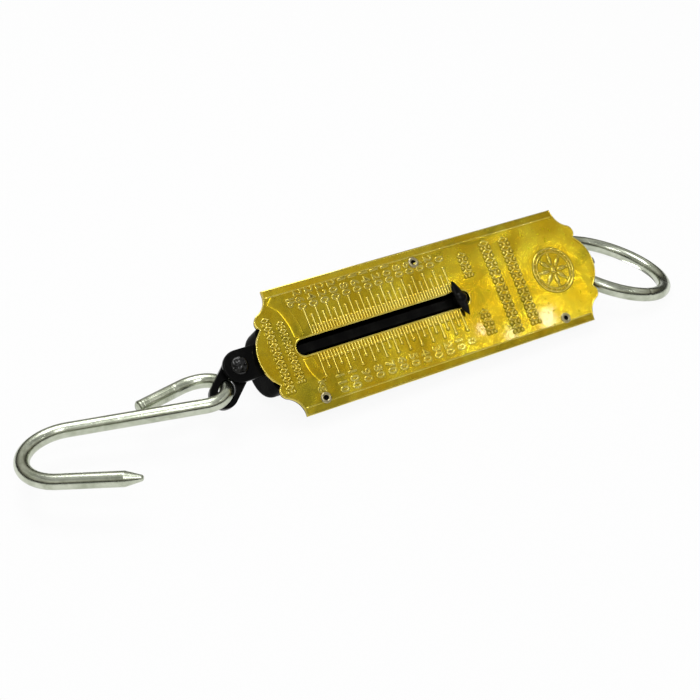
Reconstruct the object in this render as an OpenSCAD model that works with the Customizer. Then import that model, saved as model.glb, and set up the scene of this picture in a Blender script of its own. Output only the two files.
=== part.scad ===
// Brass-faced pocket balance: a spring scale that hangs from its ring and weighs what hangs on its hook.
// The face looks along -Y, the long axis is Z, and the origin is the seat inside the hanging ring.

/* [Face plate] */
// Width of the brass plate across its long edges
plate_w = 60; // [54:1:70]
// Length between the square corners of the plate
plate_len = 161.6; // [150:0.1:180]
// Thickness of the brass sheet
plate_t = 0.8; // [0.6:0.1:1.2]
// Width of the bent margin along each long edge
margin_w = 3.7; // [2:0.1:4]
// How far the margin is bent back at its edge
margin_drop = 0.6; // [0.3:0.1:1]
// Height of the end arc's top above the corners
apex_rise = 12.6; // [10:0.1:16]
// Half width of the end arc, at its notches
notch_x = 13.2; // [12:0.1:15]
// Height of the notches above the corners
notch_rise = 6.9; // [6:0.1:8]
// Radius of the small lobe beside each notch
lobe_r = 4; // [3.5:0.1:4.5]
// Distance of the lobe's centre from the middle line
lobe_x = 16.2; // [15.5:0.1:16.6]
// Radius of the hollow curve between lobe and corner
cove_r = 9.7; // [9:0.1:11]

/* [Scale] */
// Travel of the pointer from rest to its lower stop
travel = 82.5; // [70:0.5:84]
// Height of the resting pointer above the middle of the plate
zero_z = 12.5; // [8:0.5:14]
// Width of the slot
slot_w = 7.7; // [7:0.1:9]
// Length of slot left above the pointer's collar at rest
slot_spare_top = 3.5; // [1:0.5:5]
// Length of slot left below the pointer's collar at its lower stop
slot_spare_low = 2; // [0.5:0.5:3]

/* [Plate rivets] */
// Radius of a rivet's tube
rivet_r = 1.7; // [1.4:0.1:2]
// Radius of a rivet's bore
rivet_bore_r = 1.1; // [0.8:0.1:1.2]
// Radius of a rivet's rolled head
rivet_head_r = 2.7; // [2.4:0.1:3]
// Thickness of a rivet's rolled head
rivet_head_t = 0.7; // [0.5:0.1:1]
// Distance of the two rivets on the right from the plate's long edge
rivet_right_in = 5.4; // [5:0.1:8]
// Distance of the rivet on the left from the plate's long edge
rivet_left_in = 6.7; // [5:0.1:8]
// Distance of the lower right rivet from the plate's corner, along the long edge
rivet_low_in = 11.3; // [8:0.1:20]
// Distance of the upper right rivet from the plate's corner, along the long edge
rivet_high_in = 15.9; // [11:0.1:25]
// Height of the left rivet
rivet_left_z = -3; // [-20:0.5:20]

/* [Rear case] */
// Sheet thickness of the case
case_t = 1.2; // [0.9:0.1:1.4]
// Inner half width of the case's channel
case_r = 14; // [13.7:0.1:14.6]
// Depth of the spring's axis behind the face
axis_y = 14.5; // [14.3:0.1:16]
// Length of the case below the plate's lower corners
case_low_out = 9.2; // [8:0.1:9.5]
// How far the case's upper end stays below the plate's upper corners
case_top_in = 0.3; // [0.1:0.1:2]
// Outer radius of the case's rounded ends
case_corner_r = 4; // [4:0.5:8]
// Thickness of the case's flange
flange_t = 1; // [0.8:0.1:1.1]
// How far the flange stays inside the plate's outline
flange_inset = 0.3; // [0.1:0.1:1]

/* [Draw bar] */
// Width of the draw bar behind the slot
bar_w = 5; // [4:0.5:6.5]
// Thickness of the draw bar
bar_t = 3; // [2.5:0.1:3.2]
// Depth of the draw bar's front behind the face
bar_y = 3; // [2.7:0.1:3.3]
// Width of the ear at the draw bar's lower end
ear_w = 15; // [13:0.5:17]
// Sideways offset of the ear
ear_x = -1.2; // [-2:0.1:0]
// Distance of the hook rivet's centre below the case
ear_drop = 11.2; // [11:0.1:14]
// Width of the tab that is bent back to the spring
tab_w = 12; // [10:1:16]
// Reach of the tab beyond the spring's axis
tab_reach = 8; // [6:0.5:10]

/* [Pointer] */
// Length of the pointer from tip to tip
pointer_len = 18; // [14:1:22]
// Width of the pointer at its middle
pointer_w = 5.2; // [4.5:0.1:6.4]
// Thickness of the pointer
pointer_t = 1; // [0.6:0.1:1.4]
// Height of the pointer's back above the plate
pointer_gap = 2; // [1:0.1:3]
// Tilt of the pointer on its stud
pointer_skew = -7.8; // [-10:0.2:10]
// Radius of the stud's domed head
stud_head_r = 3; // [2.5:0.1:3.4]
// Height of the stud's domed head
stud_head_h = 1.6; // [1:0.1:2.4]
// Radius of the stud's shank
stud_r = 1.5; // [1.2:0.1:1.7]
// Outer radius of the collar between pointer and bar
collar_r = 2.5; // [2.2:0.1:2.8]

/* [Spring] */
// Diameter of the spring's wire
spring_wire = 3.8; // [3.2:0.1:3.8]
// Mean diameter of the spring's coils
spring_d = 21.5; // [20:0.1:21.8]
// Rise of the spring in one turn at rest
spring_pitch = 4.3; // [4.3:0.05:5]
// Length of the plugs inside the spring
plug_len = 12; // [8:1:16]
// Thickness of the plugs' flanges
plug_flange_t = 2; // [1.5:0.1:3]
// Radius of the plugs' flanges
plug_flange_r = 11.5; // [11:0.1:11.8]
// Height of the upper plug's boss, which keeps its flange below the case's rounded end
plug_boss_t = 1; // [1:0.1:2]
// Radius of the screw that holds the lower plug
plug_screw_r = 3; // [2:0.1:3.5]
// Radius of that screw's head
plug_screw_head_r = 4.5; // [4.2:0.1:5.5]
// Height of that screw's head
plug_screw_head_h = 3.5; // [2:0.1:4]
// Radius of the pin that locks the ring eye in the upper plug
lock_pin_r = 1.5; // [1:0.1:2]

/* [Ring eye] */
// Radius of the eye's hole
eye_hole_r = 7.8; // [7.8:0.1:8.2]
// Width of the eye's rim
eye_rim = 3.5; // [3:0.1:4.5]
// Thickness of the eye
eye_t = 3.5; // [3:0.1:3.7]
// Height of the eye's centre above the case
eye_rise = 10.5; // [10:0.1:11]
// Radius of the eye's shank
eye_shank_r = 4; // [3:0.1:5]
// Radius of the collar below the eye
eye_collar_r = 7; // [5.5:0.1:8]
// Thickness of the collar below the eye
eye_collar_t = 1.5; // [1:0.1:2]

/* [Hanging ring] */
// Diameter of the ring's wire
ring_wire = 7; // [6.4:0.1:7.1]
// Radius of the ring to the middle of its wire
ring_r = 30.5; // [28:0.5:36]
// Turn of the ring about the long axis
ring_roll = -42.3; // [-43:0.1:-38]
// Tilt of the ring towards the back
ring_tilt = 15.8; // [12:0.1:20]
// How far the ring has slid sideways through its eye
ring_slip = -2.8; // [-3:0.1:-2]
// Height of the ring's wire above the case
ring_rise = 8; // [7.8:0.1:8.3]
// Depth of the ring's wire behind the spring's axis
ring_back = 0.4; // [0:0.1:0.6]

/* [Hook rivet] */
// Radius of the hook rivet's shank
hook_rivet_r = 3; // [2.5:0.1:3.2]
// Radius of the hook rivet's head
hook_rivet_head_r = 4.2; // [3.8:0.1:4.6]
// Height of the hook rivet's front head
hook_rivet_head_h = 1.8; // [1.2:0.1:2.2]
// Height of the hook rivet's peened end
hook_rivet_tail_h = 1.2; // [1:0.1:1.4]
// Radius of the hook rivet's peened end
hook_rivet_tail_r = 4; // [3.6:0.1:4.2]
// Radius of the washer under the peened end
washer_r = 4.8; // [4.4:0.1:5]
// Thickness of that washer
washer_t = 0.8; // [0.6:0.1:1]

/* [Swivel link] */
// Thickness of the link
link_t = 4; // [3.4:0.1:4]
// Half width of the link, and the radius of its two round ends
link_r = 6.5; // [6.3:0.1:7]
// Distance between the centres of the link's two round ends
link_span = 13.9; // [13.5:0.1:15]
// Distance from the rivet to the middle of the link's eye
link_reach = 11; // [11:0.1:12]
// Thickness of the link where it is faced for the washer
link_tang_t = 2.6; // [2:0.1:2.6]
// Swing of the link from hanging straight, as the scale lies
link_swing = 43.8; // [42:0.2:46]

/* [Hook] */
// Diameter of the hook's wire
hook_wire = 6.6; // [6:0.1:6.7]
// Radius of the hook's closed eye to the middle of its wire
hook_eye_r = 10.6; // [10.4:0.1:11.5]
// Length of the hook's straight shank
hook_shank = 58.7; // [54:0.1:75]
// Radius of the hook's big bend to the middle of its wire
hook_bend_r = 18.6; // [17:0.1:24]
// Sweep of the hook's big bend
hook_sweep = 167; // [160:1:178]
// Length of the hook's free arm with its point
hook_arm = 34.6; // [28:0.1:45]
// Length of the hook's conical point
hook_point = 7.6; // [5:0.1:12]
// Radius of the blunt end of the point
hook_point_r = 1.1; // [0.6:0.1:1.6]
// Radius of the curve by which the tail leaves the eye
tail_curve_r = 17.4; // [16:0.1:20]
// Angle at which the tail runs back to the shank
tail_angle = 31; // [28:0.5:33]
// Space between the end of the tail and the shank
tail_gap = 0.4; // [0.3:0.1:1]
// Chamfer on the end of the tail
tail_chamfer = 0.4; // [0.2:0.1:1]
// Lean of the hook out of the face's plane and to the side, as the scale lies
hook_lean = [2, 17.8]; // [0:0.1:25]
// Turn of the hook about its own shank
hook_turn = -47.7; // [-50:0.1:-45]
// Where the top of the hook's eye lies, from the centre of the link's eye
hook_rest = [0, -0.67, 0.07]; // [-1:0.01:1]

/* [Clearances] */
// Radial clearance of pins and shanks in their holes
pin_gap = 0.05; // [0.03:0.01:0.08]
// Clearance of the draw bar in its guides and of parts that pass each other
slide_gap = 0.3; // [0.2:0.05:0.4]
// Clearance between stacked flat parts that turn on each other
turn_gap = 0.1; // [0.05:0.05:0.2]
// Clearance of the hook's wire all round in the link's eye
eye_play = 0.45; // [0.4:0.05:0.5]

/* [Hidden] */

$fn = 64;
// A cut runs this far past the faces that it opens
eps = 0.5;
// Length that reaches past every part
far = 400;

brass = [0.72, 0.62, 0.16];
rivet_metal = [0.70, 0.66, 0.50];
black = [0.07, 0.07, 0.08];
zinc = [0.72, 0.75, 0.72];
steel = [0.55, 0.56, 0.58];

// Face plate outline
corner = [plate_w / 2, plate_len / 2];
arc_sag = apex_rise - notch_rise;
arc_r = (notch_x * notch_x + arc_sag * arc_sag) / (2 * arc_sag);
arc_z = corner[1] + apex_rise - arc_r;
lobe_c = [lobe_x, corner[1] + notch_rise - sqrt(pow(lobe_r, 2) - pow(lobe_x - notch_x, 2))];
cove_c = meet(corner, cove_r, lobe_c, cove_r + lobe_r);
lobe_end = lobe_c + lobe_r * (cove_c - lobe_c) / norm(cove_c - lobe_c);
slot_top = zero_z + collar_r + slot_spare_top;
slot_low = zero_z - travel - collar_r - slot_spare_low;
flange_y = plate_t + margin_drop;
rivet_spots = [[corner[0] - rivet_right_in, rivet_low_in - corner[1]],
    [corner[0] - rivet_right_in, corner[1] - rivet_high_in],
    [rivet_left_in - corner[0], rivet_left_z]];
case_low_z = -corner[1] - case_low_out;
case_top_z = corner[1] - case_top_in;

// Spring and its plugs, from the draw bar's tab up to the case's end
bar_back = bar_y + bar_t;
tab_z = zero_z + collar_r + 1;
tab_top = tab_z + bar_t;
spring_low = tab_top + plug_flange_t + slide_gap + spring_wire / 2;
plug_top = case_top_z - case_t;
flange_top = plug_top - plug_boss_t;
spring_top = flange_top - plug_flange_t - slide_gap - spring_wire / 2;
spring_turns = (spring_top - spring_low) / spring_pitch;
spring_sides = 6;
rings_per_turn = 8;
plug_r = spring_d / 2 * cos(180 / rings_per_turn) - spring_wire / 2 - slide_gap;
plug_low = flange_top - plug_flange_t - plug_len;
lock_z = (plug_low + flange_top - plug_flange_t) / 2;

// Hanging ring, and the seat inside it that carries the scale
ring_hinge = [0, axis_y + ring_back, case_top_z + ring_rise];
ring_up = [-sin(ring_roll) * sin(ring_tilt), cos(ring_roll) * sin(ring_tilt), cos(ring_tilt)];
ring_side = [cos(ring_roll), sin(ring_roll), 0];
ring_low = ring_hinge + ring_slip * ring_side;
seat = ring_low + (2 * ring_r - ring_wire / 2) * ring_up;

// Link and hook at the lower end
ear_face = case_low_z - slide_gap;
ear_z = case_low_z - ear_drop;
link_front = bar_back + 2 * turn_gap;
link_y = link_front + link_t / 2;
washer_y = link_front + link_tang_t + turn_gap;
link_pivot = [ear_x, link_y, ear_z];
link_eye = link_pivot + link_reach * [sin(link_swing), 0, -cos(link_swing)];
// The hook's own plane: x runs from the eye's tail side to the point's side, z up along the shank
hook_r = hook_wire / 2;
// A straight run is this much thinner than its bend and laps into it by this length
lap_step = 0.02;
lap_len = 0.4;
eye_c = [-hook_eye_r, 0];
bend_z = -hook_shank;
bend_c = [hook_bend_r, bend_z];
arm_start = bend_c + hook_bend_r * [-cos(hook_sweep), -sin(hook_sweep)];
arm_heading = [sin(hook_sweep), -cos(hook_sweep)];
tail_c = [eye_c[0] - hook_eye_r + tail_curve_r, 0];
tail_start = tail_c + tail_curve_r * [-cos(tail_angle), -sin(tail_angle)];
tail_dir = [sin(tail_angle), -cos(tail_angle)];
tail_len = (-hook_wire - tail_gap - tail_start[0]) / tail_dir[0];

// Where two circles meet, on the side away from the middle line
function meet(a, ra, b, rb) =
    let (d = norm(b - a),
         u = (b - a) / d,
         s = (d * d + ra * ra - rb * rb) / (2 * d),
         h = sqrt(ra * ra - s * s))
    a + s * u + h * [-u[1], u[0]] * -1;

// Points of one ring of a tube that winds about the Z axis
function coil_ring(angle, turn_r, wire_r, rise, sides) =
    let (c = [turn_r * cos(angle), turn_r * sin(angle), rise * angle / 360],
         out = [cos(angle), sin(angle), 0])
    [for (k = [0 : sides - 1]) c + wire_r * (cos(360 * k / sides) * out + sin(360 * k / sides) * [0, 0, 1])];

// Faces of a closed tube of rings, each with the same number of sides
function tube_faces(rings, sides) = concat(
    [[for (k = [0 : sides - 1]) k]],
    [[for (k = [sides - 1 : -1 : 0]) (rings - 1) * sides + k]],
    [for (i = [0 : rings - 2], k = [0 : sides - 1])
        [i * sides + k, (i + 1) * sides + k, (i + 1) * sides + (k + 1) % sides]],
    [for (i = [0 : rings - 2], k = [0 : sides - 1])
        [i * sides + k, (i + 1) * sides + (k + 1) % sides, i * sides + (k + 1) % sides]]);

// Moves the scale so that the ring's seat is the origin
module hung() {
    translate(-seat) children();
}

// A flat sheet in the plane of the face, from depth y to y + t
module sheet(y, t) {
    translate([0, y + t, 0]) rotate([90, 0, 0]) linear_extrude(t) children();
}

// A round bar along the depth, from depth y to y + len, at [x, z]
module depth_bar(spot, y, len, r) {
    translate([spot[0], y + len, spot[1]]) rotate([90, 0, 0]) cylinder(h = len, r = r);
}

// A rectangle with round corners, from z0 to z1
module round_rect(half_w, z0, z1, r) {
    translate([-half_w + r, z0]) square([2 * (half_w - r), z1 - z0]);
    translate([-half_w, z0 + r]) square([2 * half_w, z1 - z0 - 2 * r]);
    for (x = [-1, 1], z = [z0 + r, z1 - r]) translate([x * (half_w - r), z]) circle(r);
}

// One end of the plate's outline: arc, lobes and hollow curves
module plate_end() {
    translate([0, arc_z]) circle(arc_r, $fn = 96);
    for (s = [-1, 1]) scale([s, 1]) {
        translate(lobe_c) circle(lobe_r);
        difference() {
            polygon([[0, 0], [corner[0], 0], corner, lobe_end, lobe_c, [0, lobe_c[1]]]);
            translate(cove_c) circle(cove_r, $fn = 96);
        }
    }
}

// The whole outline of the plate
module plate_outline() {
    plate_end();
    rotate(180) plate_end();
}

// The hollow shape of the case: a flat-sided front and a round back, with rounded ends
module pod(r, z0, z1, corner_r, y0) {
    sheet(y0, axis_y - y0) round_rect(r, z0, z1, corner_r);
    translate([0, axis_y, 0]) intersection() {
        rotate_extrude($fn = 96) intersection() {
            round_rect(r, z0, z1, corner_r);
            translate([0, -far / 2]) square([r, far]);
        }
        translate([-far / 2, 0, -far / 2]) cube(far);
    }
}

// Brass sheet with its margins bent back, a slot for the pointer and three rivet holes
module face_plate() {
    fold_x = plate_w / 2 - margin_w;
    edge_x = plate_w / 2 + eps;
    edge_y = margin_drop * (edge_x - fold_x) / margin_w;
    color(brass) hung() difference() {
        intersection() {
            sheet(-eps, plate_t + margin_drop + 2 * eps) plate_outline();
            translate([0, 0, -far / 2]) linear_extrude(far) polygon([
                [-edge_x, edge_y], [-fold_x, 0], [fold_x, 0], [edge_x, edge_y],
                [edge_x, edge_y + plate_t], [fold_x, plate_t],
                [-fold_x, plate_t], [-edge_x, edge_y + plate_t]]);
        }
        sheet(-eps, plate_t + 2 * eps) round_rect(slot_w / 2, slot_low, slot_top, slot_w / 2 - 0.01);
        for (p = rivet_spots) depth_bar(p, -eps, flange_y + 2 * eps, rivet_r + pin_gap);
    }
}

// Pressed steel case with a flange behind the plate
module rear_case() {
    color(black) hung() difference() {
        union() {
            pod(case_r + case_t, case_low_z, case_top_z, case_corner_r, flange_y);
            sheet(flange_y, flange_t) scale([1 - flange_inset / corner[0], 1 - flange_inset / corner[1]])
                plate_outline();
        }
        pod(case_r, case_low_z + case_t, case_top_z - case_t, case_corner_r - case_t, flange_y - eps);
        translate([-bar_w / 2 - slide_gap, flange_y - eps, case_low_z - eps])
            cube([bar_w + 2 * slide_gap, bar_back + slide_gap - flange_y + eps, case_t + 2 * eps]);
        translate([0, axis_y, plug_top - eps]) cylinder(h = case_t + 2 * eps, r = eye_shank_r + pin_gap);
        for (p = rivet_spots) depth_bar(p, flange_y - eps, flange_t + 2 * eps, rivet_r + pin_gap);
    }
}

// Tubular rivet with a rolled head on each side
module plate_rivet(i) {
    back_y = flange_y + flange_t;
    color(rivet_metal) hung() translate([rivet_spots[i][0], 0, rivet_spots[i][1]]) rotate([-90, 0, 0])
        difference() {
            union() {
                translate([0, 0, -rivet_head_t]) cylinder(h = back_y + 2 * rivet_head_t, r = rivet_r);
                translate([0, 0, -rivet_head_t]) cylinder(h = rivet_head_t, r = rivet_head_r);
                translate([0, 0, back_y]) cylinder(h = rivet_head_t, r = rivet_head_r);
            }
            translate([0, 0, -rivet_head_t - eps])
                cylinder(h = back_y + 2 * (rivet_head_t + eps), r = rivet_bore_r);
        }
}

module plate_rivet_1() plate_rivet(0);

module plate_rivet_2() plate_rivet(1);

module plate_rivet_3() plate_rivet(2);

// Saddle inside the case that keeps the draw bar close behind the plate
module bar_guide() {
    guide_len = 8;
    guide_low = case_low_z + case_t + case_corner_r;
    web_y = bar_back + slide_gap;
    leg_y = flange_y + flange_t;
    color(black) hung() translate([0, 0, guide_low]) {
        translate([-case_r, web_y, 0]) cube([2 * case_r, case_t, guide_len]);
        for (x = [-case_r, case_r - case_t]) translate([x, leg_y, 0])
            cube([case_t, web_y - leg_y + eps, guide_len]);
    }
}

// Flat bar behind the slot, with an ear for the hook and a tab bent back to the spring
module draw_bar() {
    color(black) hung() difference() {
        union() {
            translate([-bar_w / 2, bar_y, ear_face - ear_w / 2])
                cube([bar_w, bar_t, tab_top - ear_face + ear_w / 2]);
            translate([ear_x - ear_w / 2, bar_y, ear_z]) cube([ear_w, bar_t, ear_face - ear_z]);
            depth_bar([ear_x, ear_z], bar_y, bar_t, ear_w / 2);
            translate([-tab_w / 2, bar_y, tab_z]) cube([tab_w, axis_y + tab_reach - bar_y, bar_t]);
        }
        depth_bar([ear_x, ear_z], bar_y - eps, bar_t + 2 * eps, hook_rivet_r + pin_gap);
        depth_bar([0, zero_z], bar_y - eps, bar_t + 2 * eps, stud_r + pin_gap);
        translate([0, axis_y, tab_z - eps]) cylinder(h = bar_t + 2 * eps, r = plug_screw_r + pin_gap);
    }
}

// Double-ended pointer that reads against both scales
module pointer() {
    leaf_r = (pow(pointer_len, 2) + pow(pointer_w, 2)) / (4 * pointer_w);
    color(black) hung() translate([0, 0, zero_z]) rotate([0, pointer_skew, 0]) difference() {
        sheet(-pointer_gap - pointer_t, pointer_t) intersection() {
            translate([0, leaf_r - pointer_w / 2]) circle(leaf_r, $fn = 160);
            translate([0, pointer_w / 2 - leaf_r]) circle(leaf_r, $fn = 160);
        }
        depth_bar([0, 0], -pointer_gap - pointer_t - eps, pointer_t + 2 * eps, stud_r + pin_gap);
    }
}

// Domed stud that holds the pointer and its collar on the draw bar
module pointer_stud() {
    dome_r = (stud_head_r * stud_head_r + stud_head_h * stud_head_h) / (2 * stud_head_h);
    head_y = -pointer_gap - pointer_t;
    tail_h = 1;
    color(black) hung() {
        depth_bar([0, zero_z], head_y, bar_back + tail_h - head_y, stud_r);
        depth_bar([0, zero_z], bar_back, tail_h, stud_r + 0.8);
        translate([0, head_y, zero_z]) intersection() {
            translate([0, dome_r - stud_head_h, 0]) sphere(dome_r);
            depth_bar([0, 0], -stud_head_h, stud_head_h, stud_head_r);
        }
    }
}

// Collar that spaces the pointer from the draw bar and runs in the slot
module pointer_collar() {
    color(black) hung() difference() {
        depth_bar([0, zero_z], -pointer_gap, pointer_gap + bar_y, collar_r);
        depth_bar([0, zero_z], -pointer_gap - eps, pointer_gap + bar_y + 2 * eps, stud_r + pin_gap);
    }
}

// Plug in the spring's lower turns, screwed to the draw bar's tab
module spring_lower_plug() {
    color(steel) hung() translate([0, axis_y, tab_top]) difference() {
        union() {
            cylinder(h = plug_flange_t, r = plug_flange_r);
            cylinder(h = plug_flange_t + plug_len, r = plug_r);
        }
        translate([0, 0, -eps]) cylinder(h = plug_flange_t + plug_len + 2 * eps, r = plug_screw_r + pin_gap);
    }
}

// Screw that holds the lower plug to the tab
module plug_screw() {
    color(steel) hung() translate([0, axis_y, 0]) {
        translate([0, 0, tab_z]) cylinder(h = bar_t + plug_flange_t + plug_len, r = plug_screw_r);
        translate([0, 0, tab_z - plug_screw_head_h]) cylinder(h = plug_screw_head_h, r = plug_screw_head_r);
    }
}

// Tension spring, one wound tube
module spring() {
    rings = ceil(spring_turns * rings_per_turn) + 1;
    points = [for (i = [0 : rings - 1])
        each coil_ring(360 * spring_turns * i / (rings - 1), spring_d / 2, spring_wire / 2, spring_pitch,
            spring_sides)];
    middle = [for (i = [0 : rings - 1]) let (a = 360 * spring_turns * i / (rings - 1))
        [spring_d / 2 * cos(a), spring_d / 2 * sin(a), spring_pitch * a / 360]];
    near = min([for (i = [0 : rings - 1],
        j = [i + rings_per_turn / 2 : min(rings - 1, i + 2 * rings_per_turn)]) norm(middle[j] - middle[i])]);
    echo(spring_turns = spring_turns, least_gap = near - spring_wire);
    color(steel) hung() translate([0, axis_y, spring_low])
        polyhedron(points = points, faces = tube_faces(rings, spring_sides), convexity = 10);
}

// Plug in the spring's upper turns, seated under the case's end
module spring_upper_plug() {
    color(steel) hung() difference() {
        union() {
            translate([0, axis_y, flange_top - plug_flange_t])
                cylinder(h = plug_flange_t, r = plug_flange_r);
            translate([0, axis_y, plug_low]) cylinder(h = plug_top - plug_low, r = plug_r);
        }
        translate([0, axis_y, plug_low - eps])
            cylinder(h = plug_top - plug_low + 2 * eps, r = eye_shank_r + pin_gap);
        translate([-far / 2, axis_y, lock_z]) rotate([0, 90, 0]) cylinder(h = far, r = lock_pin_r + pin_gap);
    }
}

// Flat eye that carries the hanging ring, with a shank through the case's end
module ring_eye() {
    eye_z = case_top_z + eye_rise;
    collar_top = case_top_z + eye_collar_t;
    color(black) hung() difference() {
        union() {
            intersection() {
                translate([-eye_t / 2, axis_y, eye_z]) rotate([0, 90, 0])
                    cylinder(h = eye_t, r = eye_hole_r + eye_rim);
                translate([-far / 2, -far / 2, case_top_z]) cube(far);
            }
            translate([0, axis_y, case_top_z]) cylinder(h = eye_collar_t, r = eye_collar_r);
            translate([0, axis_y, plug_low]) cylinder(h = collar_top - plug_low, r = eye_shank_r);
        }
        translate([-far / 2, axis_y, eye_z]) rotate([0, 90, 0]) cylinder(h = far, r = eye_hole_r);
        translate([-far / 2, axis_y, lock_z]) rotate([0, 90, 0]) cylinder(h = far, r = lock_pin_r + pin_gap);
    }
}

// Cross pin through the upper plug and the eye's shank
module lock_pin() {
    color(steel) hung() translate([-plug_r, axis_y, lock_z]) rotate([0, 90, 0])
        cylinder(h = 2 * plug_r, r = lock_pin_r);
}

// Wire ring from which the scale hangs
module ring() {
    color(zinc) hung() translate(ring_hinge) rotate([0, 0, ring_roll]) rotate([-ring_tilt, 0, 0])
        translate([ring_slip, 0, ring_r]) rotate([90, 0, 0])
            rotate_extrude($fn = 128) translate([ring_r, 0]) circle(ring_wire / 2, $fn = 48);
}

// Rivet through the draw bar's ear, the link and the washer
module hook_rivet() {
    head_r = hook_rivet_head_r;
    dome_r = (head_r * head_r + hook_rivet_head_h * hook_rivet_head_h) / (2 * hook_rivet_head_h);
    tail_y = washer_y + washer_t;
    color(black) hung() translate([ear_x, 0, ear_z]) {
        depth_bar([0, 0], bar_y, tail_y - bar_y, hook_rivet_r);
        depth_bar([0, 0], tail_y, hook_rivet_tail_h, hook_rivet_tail_r);
        translate([0, bar_y, 0]) intersection() {
            translate([0, dome_r - hook_rivet_head_h, 0]) sphere(dome_r);
            depth_bar([0, 0], -hook_rivet_head_h, hook_rivet_head_h, head_r);
        }
    }
}

// Washer under the hook rivet's peened end
module rivet_washer() {
    color(black) hung() translate([ear_x, 0, ear_z]) difference() {
        depth_bar([0, 0], washer_y, washer_t, washer_r);
        depth_bar([0, 0], washer_y - eps, washer_t + 2 * eps, hook_rivet_r + pin_gap);
    }
}

// Sets the hook's own plane where the hook hangs
module in_hook_plane() {
    translate(link_eye + hook_rest) rotate([hook_lean[0], hook_lean[1], hook_turn])
        translate([hook_eye_r, 0, -hook_eye_r]) children();
}

// Forged link: a tongue faced for the washer, with an eye that follows the bend of the hook's own eye
module swivel_link() {
    front = -link_t / 2;
    color(black) hung() difference() {
        translate(link_pivot) rotate([0, -link_swing, 0]) difference() {
            sheet(front, link_t) {
                circle(link_r);
                translate([-link_r, -link_span]) square([2 * link_r, link_span]);
                translate([0, -link_span]) circle(link_r);
            }
            depth_bar([0, 0], front - eps, link_t + 2 * eps, hook_rivet_r + pin_gap);
            depth_bar([0, 0], front + link_tang_t, link_t, washer_r + slide_gap);
        }
        in_hook_plane() translate([eye_c[0], 0, 0]) rotate([90, 0, 0])
            rotate_extrude($fn = 128) translate([hook_eye_r, 0]) circle(hook_r + eye_play, $fn = 48);
    }
}

// A bend of round wire in the hook's plane, from one angle over a sweep
module wire_bend(centre, bend_r, from, sweep) {
    translate([centre[0], 0, centre[1]]) rotate([90, 0, 0]) rotate([0, 0, from])
        rotate_extrude(angle = sweep, $fn = 128) translate([bend_r, 0]) circle(hook_r, $fn = 48);
}

// A straight run of round wire in the hook's plane that ends in a cone; it laps into the bend before it
module wire_run(start, heading, len, cone_len, end_r) {
    run_r = hook_r - lap_step;
    translate([start[0], 0, start[1]]) rotate([0, atan2(heading[0], heading[1]), 0])
        rotate_extrude($fn = 48) polygon([[0, -lap_len], [run_r, -lap_len], [run_r, len - cone_len],
            [end_r, len], [0, len]]);
}

// Wire hook with a closed eye, a long shank, a wide bend and a blunt point
module hook() {
    color(zinc) hung() in_hook_plane() {
        wire_bend(eye_c, hook_eye_r, 0, 180);
        translate([0, 0, bend_z]) cylinder(h = hook_shank, r = hook_r, $fn = 48);
        wire_bend(bend_c, hook_bend_r, 180, hook_sweep);
        wire_run(arm_start, arm_heading, hook_arm, hook_point, hook_point_r);
        wire_bend(tail_c, tail_curve_r, 180, tail_angle);
        wire_run(tail_start, tail_dir, tail_len, tail_chamfer, hook_r - tail_chamfer);
    }
}

face_plate();
rear_case();
plate_rivet_1();
plate_rivet_2();
plate_rivet_3();
bar_guide();
draw_bar();
pointer();
pointer_stud();
pointer_collar();
spring_lower_plug();
plug_screw();
spring();
spring_upper_plug();
ring_eye();
lock_pin();
ring();
hook_rivet();
rivet_washer();
swivel_link();
hook();
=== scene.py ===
"""Hanging scale with a brass face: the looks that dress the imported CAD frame.

Sizes are in millimetres in the face's own frame: x runs to the right as the face is read, z runs
up to the ring and y runs back into the case from the front of the brass plate. FaceFrame turns
them into metres in the frame's axes.
"""

from __future__ import annotations

import logging
import math
from collections.abc import Callable, Mapping, Sequence
from dataclasses import dataclass
from enum import Enum

import bmesh
import bpy
import numpy as np
from mathutils import Matrix, Vector

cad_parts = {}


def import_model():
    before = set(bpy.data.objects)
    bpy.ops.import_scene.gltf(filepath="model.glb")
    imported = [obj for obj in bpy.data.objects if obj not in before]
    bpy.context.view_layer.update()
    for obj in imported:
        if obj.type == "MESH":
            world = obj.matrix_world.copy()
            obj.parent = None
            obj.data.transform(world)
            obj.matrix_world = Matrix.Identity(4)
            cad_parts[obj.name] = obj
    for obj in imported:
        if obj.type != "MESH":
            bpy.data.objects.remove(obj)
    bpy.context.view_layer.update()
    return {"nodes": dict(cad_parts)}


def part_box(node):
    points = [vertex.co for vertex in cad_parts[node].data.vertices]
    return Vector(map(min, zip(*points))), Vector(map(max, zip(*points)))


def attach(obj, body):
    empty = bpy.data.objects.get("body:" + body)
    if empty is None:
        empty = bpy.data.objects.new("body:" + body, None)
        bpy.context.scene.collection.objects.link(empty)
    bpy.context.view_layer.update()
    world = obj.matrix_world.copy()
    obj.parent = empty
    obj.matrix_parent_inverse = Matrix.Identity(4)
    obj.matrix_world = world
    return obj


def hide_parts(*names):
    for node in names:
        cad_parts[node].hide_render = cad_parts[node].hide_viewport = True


LOG = logging.getLogger("hanging_scale")
MM = 0.001
FULL_TURN = 2 * math.pi
WIRE_UV = "wire"
Colour = tuple[float, float, float]
Point = tuple[float, float, float]
Spot = tuple[float, float]
TABLE_UP = Vector((-0.695, -0.719, 0.0)).normalized()
PICTURE_RIGHT = Vector((0.3592, -0.34685, 0.86641)).normalized()
TABLE_AWAY = TABLE_UP.cross(PICTURE_RIGHT)


@dataclass(frozen=True)
class Grain:
    """A noise texture and its use: a mask over a span of its values, or a bump of some depth."""

    scale: float
    detail: float = 2.0
    rough: float = 0.5
    warp: float = 0.0
    low: float = 0.0
    high: float = 1.0
    top: float = 1.0
    depth: float = 0.0


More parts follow.
